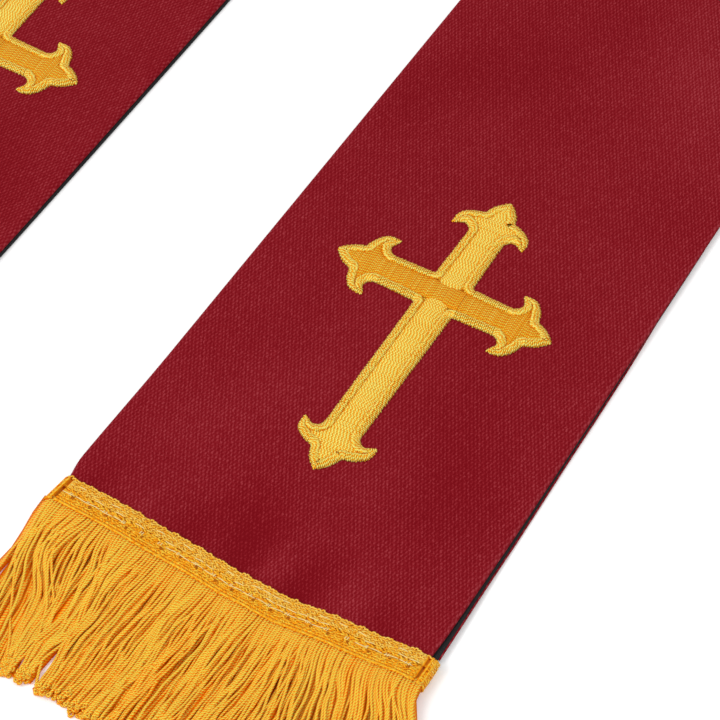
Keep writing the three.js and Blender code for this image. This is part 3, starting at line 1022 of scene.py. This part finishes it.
def make_sewing(braid, half, material):
    """Pale sewing threads along the braid, with the short tacks of its pattern."""
    random = draws(half, SEWING_SEED)
    mesh = Mesh()
    low, high = braid.fold_runs()
    first = 0
    for seam in SEAMS:
        start = np.arange(low + SEWING_FROM_FOLD, high - seam.length, seam.length)
        start = start[random.uniform(0, 1, len(start)) < seam.kept]
        share = np.linspace(0, 1, 8)
        run = start[:, None] + seam.length * SEWING_SHARE * share
        rise = seam.rise + rippled(run, SEWING_RIPPLE)
        rise = rise + jitter(random, SEWING_JITTER, len(start), 1)
        out = SEWING_OUT + SEWING_ARCH * np.sin(np.pi * share) ** SEWING_ROUNDNESS
        first = braid.add(mesh, run, rise, out, *SEWING_SIZE, first)
    tacks = np.arange(low + TACK_FROM_FOLDS, high - TACK_FROM_FOLDS, BRAID_REPEAT)
    start = np.concatenate([tacks, tacks + TACK_PAIR]) + jitter(random, TACK_JITTER, 2 * len(tacks))
    share = np.linspace(0, 1, 4)
    braid.add(mesh, start[:, None] + TACK_SLANT * share, TACK_RISE + TACK_HEIGHT * share, TACK_OUT,
              *SEWING_SIZE, first)
    return mesh.build(f"sewing_{half.name}", material)


# Fringe: how its strands run at places across it, with lean in degrees and sweep in millimetres
Flow = namedtuple("Flow", "across lean sweep")
FLOWS = (
    Flow(-3, 1, 0.0),
    Flow(2, 2, -0.6),
    Flow(6, 6, -3.0),
    Flow(10, 11, -5.6),
    Flow(15, 10, -6.0),
    Flow(18, 3, -1.6),
    Flow(22, 3, 0.4),
    Flow(28, 2, -1.0),
    Flow(36, -3, -1.2),
    Flow(46, -3, 0.6),
    Flow(54, -3, -0.8),
    Flow(62, -1, 0.8),
    Flow(70, -2, -0.6),
    Flow(78, 1, 0.8),
    Flow(86, 6, -0.8),
    Flow(93, 13, 1.0),
    Flow(101, 17, -0.6),
    Flow(110, 20, 0.8),
    Flow(120, 24, 0.0),
)
# Where strands part: place across, shares of the way down where it opens and closes, half
# width in millimetres, and how many of the layers part, from the top one. The place across is
# that of the strands' roots, or of their tips where all the layers part.
Parting = namedtuple("Parting", "across opens closes width layers")
PARTINGS = (
    Parting(3.0, 0.34, 0.70, 1.2, 4),
    Parting(9.6, 0.14, 0.60, 0.7, 1),
    Parting(16.6, 0.10, 0.62, 1.1, 1),
    Parting(23.3, 0.05, 0.30, 0.5, 1),
    Parting(29.0, 0.30, 0.80, 0.6, 1),
    Parting(36.4, 0.04, 0.55, 0.8, 1),
    Parting(42.0, 0.12, 0.50, 0.6, 1),
    Parting(49.0, 0.20, 0.80, 0.7, 1),
    Parting(57.4, 0.16, 0.60, 0.9, 1),
    Parting(62.5, 0.45, 1.20, 0.7, 1),
    Parting(69.4, 0.14, 0.55, 0.9, 1),
    Parting(76.3, 0.18, 0.70, 0.8, 1),
    Parting(84.0, 0.30, 0.90, 0.9, 1),
    Parting(91.0, 0.15, 0.60, 0.7, 1),
    Parting(98.6, 0.12, 0.50, 0.9, 1),
    Parting(104.5, 0.16, 0.60, 0.7, 1),
    Parting(108.4, 0.14, 0.60, 0.8, 1),
    Parting(114.0, 0.20, 0.80, 0.7, 1),
    Parting(24.6, 0.56, 1.40, 1.5, 4),
    Parting(30.4, 0.66, 2.00, 1.8, 4),
)
PARTING_REACH = 3.2

# Layers from the top one: how many strands they have and how far apart their points are, how
# their lean differs in degrees, how much the leans of their locks vary, their share of the sweep,
# how wide and tall their strands are, and their tone, painted light on the top layer and painted
# shade growing darker in the lower ones. The lowest one is a flat bed.
Layer = namedtuple("Layer", "strands step lean lock_spread sweep_share wide tall tone")
LAYERS = (
    Layer(128, 2.3, 0.0, 3.2, 1.0, 1.02, 1.0, 0.10),
    Layer(128, 2.3, 2.0, 3.6, 0.8, 1.04, 1.0, 0.0),
    Layer(116, 2.8, -2.0, 0.8, 0.4, 1.3, 1.0, -0.20),
    Layer(92, 5.0, 0.0, 0.0, 0.2, 3.2, 0.8, -0.40),
)
# Where the layers' strands start, and how they vary about the tables above. Every few
# millimetres of them hang together as a lock, and an odd strand strays more than the others.
STRAND_SEED = 100
FIRST_ROOT = 0.4
LAST_ROOT = END_WIDTH + 0.6
LAYER_SHIFT = 0.35
ROOT_JITTER = 0.15
DROP_SPREAD = 4.5
TOP_LAYER_SHORTER = 0.6
TOP_LAYERS = 2
LOWER_STRAY = 0.3
ODD_SHARE = 0.12
ODD_STRAY = 2.4
STRAY_SLOPE = 0.030
STRAY_BEND = 0.42
STRAY_BEND_RADIANS = 5.0
CRIMP = 0.13
CRIMP_LENGTH = 1.5
CRIMP_SPREAD = 3.0
LEAN_WAVE_LENGTH = 7.0
LOCK_PHASE_LENGTH = 6.5
PHASE_SPREAD = 0.35
FIRST_LOCK = 2.0
LOCK_SHIFT = 1.7
SETTLED = 0.28
SWEEP_LENGTH = 0.62
# Waves of a lock, with radians down its strands and from lock to lock
Wave = namedtuple("Wave", "size down beside")
LOCK_WAVES = (Wave(0.55, 6.0, 1.0), Wave(0.40, 10.0, 1.7))

# Their heights: where they start behind the braid, where they fall, and how unevenly they lie,
# by share of the way down
ROOT_RISE = 1.0
ROOT_BELOW_LINE = 0.45
ROOT_LAYER_RISE = 0.25
FALL_FROM = 0.5
FALL_PER_LAYER = 5.0
REST_JITTER = 0.22
HEIGHT_WAVE = 0.22
HEIGHT_WAVE_LENGTH = 3.6
HEIGHT_WAVE_GROWS = (0.25, 0.6)
TILT = 0.12
LOCK_LIFT = 0.22
LOCK_LIFT_GROWS = (0.2, 0.7)
FLOOR_GAP = 0.05
STRAND_TONE_SPREAD = 0.12
STRAND_SIZES = (0.92, 1.06)
STRAND_SECTION = (5, math.pi / 10)
TIP_THICKENS = 1.1

# Loops at their tips: how wide they stand open, how far back they start and how they lift
TIP_SHARE = 0.62
TIP_WIDTHS = (0.75, 1.10)
TIP_LENGTHS = (0.70, 1.25)
TIP_BACK = 0.25
TIP_LIFT = 0.12
TIP_SIZE = (0.42, 0.40)

# Strands of one layer: down is how far each point is below the strand's root, and share is that as
# a share of the strand. spread, phase, locks and stray are what differs from strand to strand.
Bundle = namedtuple("Bundle", "kind layer root share down spread phase locks stray")


def start_bundle(layer, random):
    """The roots and drops of one layer, which is counted from the lowest one."""
    kind = LAYERS[-1 - layer]
    on_top = layer >= len(LAYERS) - TOP_LAYERS
    count = kind.strands
    root = np.linspace(FIRST_ROOT, LAST_ROOT, count) + LAYER_SHIFT * layer
    root = root + jitter(random, ROOT_JITTER, count)
    drop = STRAND_DROP - random.uniform(0, DROP_SPREAD, count)
    drop = drop - TOP_LAYER_SHORTER * (layer == len(LAYERS) - 1)
    share = np.linspace(0, 1, int(STRAND_DROP / kind.step))
    spread = random.normal(0, 1, (5, count, 1))
    phase = random.uniform(0, 2 * np.pi, (3, 1, 1)) + PHASE_SPREAD * spread[4]
    lock_number = ((root + LOCK_SHIFT * layer + FIRST_LOCK) // LOCK_WIDTH).astype(int)
    locks = random.normal(0, 1, (2, lock_number.max() + 1))[:, lock_number, None]
    odd = random.uniform(0, 1, (count, 1)) < ODD_SHARE
    stray = 1.0 + ODD_STRAY * odd if on_top else np.full((count, 1), LOWER_STRAY)
    return Bundle(kind, layer, root[:, None], share, drop[:, None] * share, spread, phase, locks,
                  stray)


def strand_across(bundle):
    """Places across the panel, as strands by points."""
    kind, root, share, spread = bundle.kind, bundle.root, bundle.share, bundle.spread
    flow_across, flow_lean, flow_sweep = np.array(FLOWS).T
    lean = np.interp(root, flow_across, flow_lean) + kind.lean * np.sin(root / LEAN_WAVE_LENGTH)
    lean = lean + kind.lock_spread * bundle.locks[0]
    slope = np.tan(np.radians(lean)) + STRAY_SLOPE * bundle.stray * spread[0]
    settle = smoothstep(share, 0.0, SETTLED)
    bow = np.sin(np.pi * np.minimum(share / SWEEP_LENGTH, 1.0)) ** 2
    across = root + slope * bundle.down * settle
    across = across + np.interp(root, flow_across, flow_sweep) * bow * kind.sweep_share
    lock = root / LOCK_PHASE_LENGTH
    for wave, phase in zip(LOCK_WAVES, bundle.phase):
        swung = np.sin(wave.down * share + wave.beside * lock + phase)
        across = across + wave.size * settle * share * swung
    bend = spread[1] * np.sin(STRAY_BEND_RADIANS * share + spread[2])
    across = across + STRAY_BEND * bundle.stray * settle * bend
    crimp = np.sin(bundle.down / CRIMP_LENGTH + CRIMP_SPREAD * spread[3])
    across = across + CRIMP * settle * crimp
    for parting in PARTINGS:
        if len(LAYERS) - 1 - bundle.layer < parting.layers:
            beside = across[:, -1:] if parting.layers == len(LAYERS) else root
            across = part_strands(across, beside, share, parting)
    return across


def part_strands(across, beside, share, parting):
    """Move strands away from a parting, which opens in a point and may close again."""
    middle = (parting.opens + min(parting.closes, 1.0)) / 2
    wide = smoothstep(share, parting.opens, middle)
    wide = wide * (1 - smoothstep(share, middle, parting.closes))
    side = np.sign(beside - parting.across)
    near = np.exp(-((beside - parting.across) / PARTING_REACH) ** 2)
    return across + side * near * wide * parting.width


def strand_heights(bundle, braid, random):
    """Heights over the surface: from the braid's lower edge down to rest, in soft waves."""
    root, share, down, layer = bundle.root, bundle.share, bundle.down, bundle.layer
    start = braid.top_height(root) - ROOT_BELOW_LINE + ROOT_LAYER_RISE * layer
    rest = STRAND_RADIUS + LAYER_SPACING * layer + jitter(random, REST_JITTER, len(root), 1)
    height = mix(start, rest, smoothstep(down, FALL_FROM, FALL + FALL_PER_LAYER * layer))
    wave = np.sin(down / HEIGHT_WAVE_LENGTH + root / LOCK_PHASE_LENGTH + bundle.phase[2])
    height = height + HEIGHT_WAVE * wave * smoothstep(share, *HEIGHT_WAVE_GROWS)
    height = height + TILT * bundle.spread[3] * share
    height = height + LOCK_LIFT * bundle.locks[1] * smoothstep(share, *LOCK_LIFT_GROWS)
    return np.maximum(height, STRAND_RADIUS + FLOOR_GAP)


def make_strands(braid, half, layer, material):
    random = draws(half, STRAND_SEED + 10 * layer)
    bundle = start_bundle(layer, random)
    kind, count = bundle.kind, bundle.kind.strands
    height = strand_heights(bundle, braid, random)
    over = END_WIDTH - bundle.root if half.flip else bundle.root
    station = BRAID_FROM + through_knots(over, BRAID_SAG) + ROOT_RISE - bundle.down
    paths = place(half, station, strand_across(bundle), height)
    thick = STRAND_RADIUS * random.uniform(*STRAND_SIZES, (count, 1)) * np.ones(len(bundle.share))
    thick[:, -1] *= TIP_THICKENS
    tone = kind.tone + jitter(random, STRAND_TONE_SPREAD, count, 1)
    mesh = Mesh()
    add_tubes(mesh, paths, kind.wide * thick, kind.tall * thick, *STRAND_SECTION, tone=tone)
    add_tip_loops(mesh, paths, random, count)
    return mesh.build(f"strands_{half.name}_{layer + 1}", material)


def add_tip_loops(mesh, paths, random, first):
    """Each strand is a doubled thread, whose fold stands open at the tip as a small loop."""
    tip = paths[:, -1:]
    ahead = unit((tip - paths[:, -3:-2]) * [1, 1, 0])
    side = np.cross([0, 0, 1], ahead)
    angle = np.linspace(0, 2 * np.pi, 8)[:, None]
    size = random.uniform(*TIP_WIDTHS, (len(tip), 1, 1)) * TIP_SHARE * TIP_LOOP
    tall = random.uniform(*TIP_LENGTHS, (len(tip), 1, 1))
    forward = (1 - np.cos(angle)) * size * tall - TIP_BACK
    lifted = TIP_LIFT * np.sin(angle) * [0, 0, 1]
    loops = tip + (forward * ahead + np.sin(angle) * size * side + lifted) * MM
    loops[..., 2] = np.maximum(loops[..., 2], TIP_SIZE[0] * MM)
    add_tubes(mesh, loops, *TIP_SIZE, first=first)


# Materials

def put(tree, kind, sockets=None, **settings):
    """A node with its settings, and its sockets set to values or joined to other sockets."""
    node = tree.nodes.new(kind)
    for name, value in settings.items():
        setattr(node, name, value)
    for name, value in (sockets or {}).items():
        if isinstance(value, bpy.types.NodeSocket):
            tree.links.new(value, node.inputs[name])
        else:
            node.inputs[name].default_value = value
    return node


def math_node(tree, operation, first, second=0.0):
    return put(tree, "ShaderNodeMath", {0: first, 1: second}, operation=operation).outputs[0]


def vector_node(tree, operation, first, second, output="Vector"):
    return put(tree, "ShaderNodeVectorMath", {0: first, 1: second},
               operation=operation).outputs[output]


def wave_node(tree, turns):
    return math_node(tree, "COSINE", math_node(tree, "MULTIPLY", turns, 2 * math.pi))


def ranged(tree, value, low, high):
    """A value from low to high as a number from 0 to 1."""
    return put(tree, "ShaderNodeMapRange",
               {"Value": value, "From Min": low, "From Max": high}).outputs[0]


def between(tree, value, low, high):
    """A value from 0 to 1 as a number from low to high."""
    return put(tree, "ShaderNodeMapRange",
               {"Value": value, "To Min": low, "To Max": high}).outputs[0]


def noise_node(tree, place_on_it, scale, detail, roughness):
    return put(tree, "ShaderNodeTexNoise", {
        "Vector": place_on_it, "Scale": scale, "Detail": detail, "Roughness": roughness}).outputs


def ramp(tree, value, stops):
    """Colour ramp through (place, colour) stops."""
    node = put(tree, "ShaderNodeValToRGB", {"Fac": value})
    elements = node.color_ramp.elements
    while len(elements) < len(stops):
        elements.new(0.5)
    for element, (position, colour) in zip(elements, stops):
        element.position = position
        element.color = (*colour, 1.0)
    return node.outputs["Color"]


def start_group(name, kinds):
    """Node group with named inputs of the given kinds, and those inputs as seen from within."""
    group = bpy.data.node_groups.new(name, "ShaderNodeTree")
    for title, kind in kinds.items():
        group.interface.new_socket(title, in_out="INPUT", socket_type=f"NodeSocket{kind}")
    return group, put(group, "NodeGroupInput").outputs


def finish_group(group, values):
    """Give the group a named output for each value."""
    for title in values:
        group.interface.new_socket(title, in_out="OUTPUT", socket_type="NodeSocketFloat")
    put(group, "NodeGroupOutput", values)
    return group


WAVE_NAMES = ("First Wave", "Second Wave", "Third Wave")

# Noise on the cloth and along a thread's fibres, as scale, detail and roughness
SLIP_NOISE = (1.1, 2.0, 0.6)
SPECK_NOISE = (2.4, 1.0, 0.5)
BROAD_NOISE = (0.03, 3.0, 0.5)
FIBRE_NOISE = (1.0, 2.0, 0.5)

# How small the cloth's dots are. On a thread, how its fibres are drawn out round and along it, and
# how wide its ridges and its crown of painted light are
DOT_SHARPNESS = 1.6
FIBRES_ROUND = 9.0
FIBRES_ALONG = 0.8
RIDGE_RANGE = (-1.0, 0.4)
CROWN_RANGE = (-0.3, 1.0)
CROWN_SHARPNESS = 5.0


def weave_group():
    """Small dots of woven thread where slanted waves cross, in millimetres of the cloth. Height
    lights the dots in the cloth's colour, partly as the weave itself and partly as painted glints
    on the thread floats, and Glint gives each dot's glint a random strength. Shares says how strong
    each of the three waves is, and Slip how far the threads wander."""
    kinds = {title: "Vector" for title in ("Place", *WAVE_NAMES, "Shares", "Slip")}
    group, given = start_group("woven dots", kinds)
    wander = noise_node(group, given["Place"], *SLIP_NOISE)["Color"]
    shaken = vector_node(group, "MULTIPLY", given["Slip"], wander)
    moved = vector_node(group, "ADD", given["Place"], shaken)
    phases = [vector_node(group, "DOT_PRODUCT", moved, given[title], "Value")
              for title in WAVE_NAMES]
    crossed = put(group, "ShaderNodeCombineXYZ", {
        axis: wave_node(group, phase) for axis, phase in zip("XYZ", phases)}).outputs[0]
    total = vector_node(group, "DOT_PRODUCT", crossed, given["Shares"], "Value")
    cell = put(group, "ShaderNodeCombineXYZ", {
        axis: math_node(group, "ROUND", phase) for axis, phase in zip("XY", phases)}).outputs[0]
    chance = put(group, "ShaderNodeTexWhiteNoise", {"Vector": cell}, noise_dimensions="3D")
    return finish_group(group, {
        "Height": math_node(group, "POWER", ranged(group, total, -1.0, 1.0), DOT_SHARPNESS),
        "Glint": chance.outputs["Value"],
        "Speck": noise_node(group, given["Place"], *SPECK_NOISE)["Fac"],
        "Broad": noise_node(group, given["Place"], *BROAD_NOISE)["Fac"]})


def thread_group():
    """Plies, crown and shade of twisted threads: the plies give relief, with painted light on their
    ridges and painted shade in the valleys between them, the crown is painted light along a
    thread's top, and shade is a random tone for each thread. The map holds turns round a thread
    plus a stride for each thread, and millimetres along it. Step is how far it is along it from ply
    to ply."""
    group, given = start_group("twisted thread",
                               {"Map": "Vector", "Plies": "Float", "Step": "Float"})
    split = put(group, "ShaderNodeSeparateXYZ", {0: given["Map"]}).outputs
    number = math_node(group, "MULTIPLY", split["X"], 1 / TUBE_STRIDE)
    chance = put(group, "ShaderNodeTexWhiteNoise", {"W": math_node(group, "FLOOR", number)},
                 noise_dimensions="1D")
    chances = put(group, "ShaderNodeSeparateXYZ", {0: chance.outputs["Color"]}).outputs
    round_it = math_node(group, "MULTIPLY", split["X"], given["Plies"])
    along = math_node(group, "DIVIDE", split["Y"], given["Step"])
    turns = math_node(group, "ADD", math_node(group, "ADD", round_it, along), chances["X"])
    upward = math_node(group, "SINE", math_node(group, "MULTIPLY", split["X"], 2 * math.pi))
    drawn = put(group, "ShaderNodeCombineXYZ", {
        "X": math_node(group, "MULTIPLY", split["X"], FIBRES_ROUND),
        "Y": math_node(group, "MULTIPLY", split["Y"], FIBRES_ALONG)}).outputs[0]
    crown = ranged(group, upward, *CROWN_RANGE)
    return finish_group(group, {
        "Ridge": ranged(group, wave_node(group, turns), *RIDGE_RANGE),
        "Crown": math_node(group, "POWER", crown, CROWN_SHARPNESS),
        "Shade": chances["Y"],
        "Fibre": noise_node(group, drawn, *FIBRE_NOISE)["Fac"]})


# How a surface looks: colour stops over its level, the roughness at both ends of its gloss, the
# depth of its relief in millimetres, and how strongly it reflects
Surface = namedtuple("Surface", "stops roughness relief specular")


def start_material(name):
    material = bpy.data.materials.new(name)
    material.use_nodes = True
    tree = material.node_tree
    tree.nodes.clear()
    uv = put(tree, "ShaderNodeUVMap", uv_map="cloth").outputs["UV"]
    tones = put(tree, "ShaderNodeUVMap", uv_map="tone").outputs["UV"]
    return material, tree, uv, put(tree, "ShaderNodeSeparateXYZ", {0: tones}).outputs["X"]


def finish_material(tree, surface, levels, gloss, height, **sockets):
    """The shader, whose colour follows the sum of the levels."""
    level, *others = levels
    for other in others:
        level = math_node(tree, "ADD", level, other)
    bump = put(tree, "ShaderNodeBump", {
        "Height": height, "Strength": 1.0, "Distance": surface.relief * MM}).outputs[0]
    shader = put(tree, "ShaderNodeBsdfPrincipled", {
        "Base Color": ramp(tree, level, surface.stops),
        "Roughness": between(tree, gloss, *surface.roughness),
        "Normal": bump,
        "Specular IOR Level": surface.specular})
    for title, value in sockets.items():
        shader.inputs[title.replace("_", " ")].default_value = value
    put(tree, "ShaderNodeOutputMaterial", {"Surface": shader.outputs[0]})


# Weave of a cloth: its three waves in turns for each millimetre, and their shares
Weave = namedtuple("Weave", "waves shares")
THREAD_SLIP = (1.2, 2.2, 0.0)
GLINT_RANGE = (0.72, 1.0)
SPECK_DEPTH = 0.24
BROAD_DEPTH = 0.16


def cloth_material(name, group, weave, surface):
    material, tree, uv, tone = start_material(name)
    sockets = {"Place": uv, "Shares": weave.shares, "Slip": THREAD_SLIP}
    sockets.update(zip(WAVE_NAMES, weave.waves))
    woven = put(tree, "ShaderNodeGroup", sockets, node_tree=group).outputs
    glint = between(tree, woven["Glint"], *GLINT_RANGE)
    finish_material(tree, surface, [
        math_node(tree, "MULTIPLY", woven["Height"], glint),
        between(tree, woven["Broad"], -BROAD_DEPTH, BROAD_DEPTH),
        between(tree, woven["Speck"], -SPECK_DEPTH, SPECK_DEPTH),
        tone], woven["Height"], woven["Height"])
    return material


# Twist of a kind of thread: how many plies go round it, how far it is from one to the next along
# it, and how much its plies, its crown and whole threads differ in tone: painted light and shade
# over the plies, painted light on the crown, and a random tone for each thread
Twist = namedtuple("Twist", "plies step ply_depth crown_depth thread_depth")
FIBRE_DEPTH = 0.20
THREAD_IOR = 1.9
THREAD_TINT = (1.0, 0.60, 0.02, 1.0)


def thread_material(name, group, twist, surface):
    """Its colours run from painted shade on the sides of a thread and between its plies to painted
    light on its plies and crown.
    """
    material, tree, uv, tone = start_material(name)
    sockets = {"Map": uv, "Plies": twist.plies, "Step": twist.step}
    twisted = put(tree, "ShaderNodeGroup", sockets, node_tree=group).outputs
    levels = [math_node(tree, "ADD", tone, 0.5)]
    for title, depth in (("Ridge", twist.ply_depth), ("Crown", twist.crown_depth),
                         ("Shade", twist.thread_depth), ("Fibre", FIBRE_DEPTH)):
        levels.append(between(tree, twisted[title], -depth, depth))
    finish_material(tree, surface, levels, twisted["Fibre"], twisted["Ridge"],
                    IOR=THREAD_IOR, Specular_Tint=THREAD_TINT)
    return material


WEAVE = weave_group()
THREAD = thread_group()
FACE_WEAVE = Weave(((0.80, 0.46, 0.0), (-0.92, 0.27, 0.0), (1.07, 0.62, 0.0)), (0.50, 0.42, 0.08))
LINING_WEAVE = Weave(((1.6, 0.0, 0.0), (0.0, 1.6, 0.0), (0.0, 0.0, 0.0)), (0.5, 0.5, 0.0))
EMBROIDERY_TWIST = Twist(1.0, 1.0, 0.46, 0.24, 0.08)
FRINGE_TWIST = Twist(3.0, PLY_STEP, 0.54, 0.28, 0.14)
BRAID_TWIST = Twist(1.0, 1.6, 0.15, 0.26, 0.10)
SEWING_TWIST = Twist(2.0, 1.4, 0.12, 0.20, 0.06)

# The cloth's colours run from the dark between its dots to the pinkish light of their painted
# glints
crimson = cloth_material("crimson cloth", WEAVE, FACE_WEAVE, Surface((
    (0.0, (0.162, 0.0016, 0.0056)),
    (0.40, (0.216, 0.0070, 0.0130)),
    (1.0, (0.32, 0.036, 0.046)),
), (0.82, 0.65), 0.05, 0.05))
black = cloth_material("black lining", WEAVE, LINING_WEAVE, Surface((
    (0.0, (0.006, 0.006, 0.007)),
    (0.6, (0.011, 0.010, 0.011)),
    (1.0, (0.020, 0.019, 0.020)),
), (0.67, 0.50), 0.03, 0.25))
embroidery_gold = thread_material("gold embroidery thread", THREAD, EMBROIDERY_TWIST, Surface((
    (0.0, (0.66, 0.12, 0.0005)),
    (0.26, (0.89, 0.25, 0.0006)),
    (0.75, (0.62, 0.43, 0.030)),
    (1.0, (0.82, 0.73, 0.18)),
), (0.30, 0.50), 0.07, 1.0))
fringe_gold = thread_material("gold fringe thread", THREAD, FRINGE_TWIST, Surface((
    (0.0, (0.90, 0.09, 0.0001)),
    (0.28, (0.92, 0.17, 0.0002)),
    (0.64, (0.80, 0.325, 0.0015)),
    (1.0, (0.80, 0.65, 0.095)),
), (0.32, 0.52), 0.10, 1.0))
braid_gold = thread_material("gold braid thread", THREAD, BRAID_TWIST, Surface((
    (0.0, (0.26, 0.006, 0.0005)),
    (0.16, (0.80, 0.14, 0.001)),
    (0.5, (0.77, 0.275, 0.003)),
    (1.0, (0.78, 0.53, 0.06)),
), (0.34, 0.54), 0.05, 1.0))
lace_gold = thread_material("pale gold braid thread", THREAD, BRAID_TWIST, Surface((
    (0.0, (0.36, 0.02, 0.0005)),
    (0.16, (0.72, 0.17, 0.002)),
    (0.5, (0.75, 0.34, 0.017)),
    (1.0, (0.80, 0.59, 0.15)),
), (0.34, 0.54), 0.05, 1.0))
pale_thread = thread_material("pale sewing thread", THREAD, SEWING_TWIST, Surface((
    (0.0, (0.64, 0.40, 0.10)),
    (0.5, (0.76, 0.58, 0.24)),
    (1.0, (0.82, 0.70, 0.42)),
), (0.34, 0.54), 0.02, 1.0))


# The stole


def make_half(half):
    """All the pieces of one half, each riding on the part; those that stand for one of its solids
    hide that solid.
    """
    face = make_face(half, crimson)
    backing = make_lining(half, black)
    cross = make_cross(half, embroidery_gold)
    braid, trim, lace = make_braid(half, braid_gold, lace_gold)
    sewing = make_sewing(braid, half, pale_thread)
    turning = make_turning(half, crimson)
    strands = [make_strands(braid, half, layer, fringe_gold) for layer in range(len(LAYERS))]
    rows = [(face, f"front_{half.name}", "crimson_cloth"),
            (backing, f"lining_{half.name}", "black_lining"),
            (cross, f"cross_{half.name}", "gold_embroidery"),
            (trim, f"fringe_{half.name}", "gold_fringe"),
            (lace, f"fringe_{half.name}", "gold_fringe"),
            (sewing, None, "gold_fringe"),
            (turning, None, "crimson_cloth")]
    rows += [(piece, f"fringe_{half.name}", "gold_fringe") for piece in strands]
    for piece, node, finish in rows:
        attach(piece, "root")
        if node:
            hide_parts(node)


for stole_half in HALVES:
    make_half(stole_half)

# Stage, light and camera

FLOOR_SIZE = 12.0
FLOOR_DROP = 0.05
FLOOR_COLOUR = (0.93, 0.93, 0.93, 1.0)
FLOOR_ROUGHNESS = 0.9
FLOOR_GLOW = 0.12
WORLD_STRENGTH = 0.73
WHITE = (1.0, 1.0, 1.0, 1.0)
CAMERA_AZIMUTH = 31.07
CAMERA_ELEVATION = 51.51
CAMERA_DISTANCE = 0.8614
CAMERA_TARGET = (80.7, 87.9, 0.0)
LENS = 147.2
SENSOR = 36.0
CLIP_RANGE = (0.05, 50.0)

# Where the lamps stand about the camera's target, in degrees and metres, their sides in metres
# and their power in watts
Softbox = namedtuple("Softbox", "name azimuth elevation distance side power")
SOFTBOXES = (
    Softbox("key", -42, 50, 2.4, 1.2, 25.0),
    Softbox("fill", 60, 62, 2.6, 1.6, 11.0),
)


def link(name, data):
    thing = bpy.data.objects.new(name, data)
    bpy.context.scene.collection.objects.link(thing)
    return thing


def aimed(name, data, azimuth, elevation, distance):
    """A lamp or camera that looks at the camera's target from a place about it."""
    a, e = math.radians(azimuth), math.radians(elevation)
    way = Vector((math.sin(a) * math.cos(e), -math.cos(a) * math.cos(e), math.sin(e)))
    x, y, z = CAMERA_TARGET
    thing = link(name, data)
    thing.location = Vector((AXIS_X + x * MM, END_Y + y * MM, z * MM)) + way * distance
    thing.rotation_mode = "QUATERNION"
    thing.rotation_quaternion = (-way).to_track_quat("-Z", "Y")
    return thing


def make_floor():
    material = bpy.data.materials.new("pale floor")
    material.use_nodes = True
    shader = material.node_tree.nodes["Principled BSDF"]
    shader.inputs["Base Color"].default_value = FLOOR_COLOUR
    shader.inputs["Roughness"].default_value = FLOOR_ROUGHNESS
    shader.inputs["Specular IOR Level"].default_value = 0.0
    shader.inputs["Emission Color"].default_value = WHITE
    shader.inputs["Emission Strength"].default_value = FLOOR_GLOW
    mesh = bpy.data.meshes.new("floor")
    corners = ((-1, -1), (1, -1), (1, 1), (-1, 1))
    half_size = FLOOR_SIZE / 2
    mesh.from_pydata([(x * half_size, y * half_size, -FLOOR_DROP * MM) for x, y in corners], [],
                     [(0, 1, 2, 3)])
    mesh.materials.append(material)
    link("floor", mesh)


def make_softbox(box):
    light = bpy.data.lights.new(box.name, "AREA")
    light.shape = "RECTANGLE"
    light.size = light.size_y = box.side
    light.energy = box.power
    aimed(box.name, light, box.azimuth, box.elevation, box.distance)


def make_camera():
    camera = bpy.data.cameras.new("camera")
    camera.lens = LENS
    camera.sensor_width = SENSOR
    camera.clip_start, camera.clip_end = CLIP_RANGE
    bpy.context.scene.camera = aimed("camera", camera, CAMERA_AZIMUTH, CAMERA_ELEVATION,
                                     CAMERA_DISTANCE)


def make_world():
    world = bpy.data.worlds.new("studio")
    world.use_nodes = True
    background = world.node_tree.nodes["Background"]
    background.inputs["Color"].default_value = WHITE
    background.inputs["Strength"].default_value = WORLD_STRENGTH
    bpy.context.scene.world = world
    bpy.context.scene.view_settings.view_transform = "Standard"


make_floor()
for softbox in SOFTBOXES:
    make_softbox(softbox)
make_camera()
make_world()
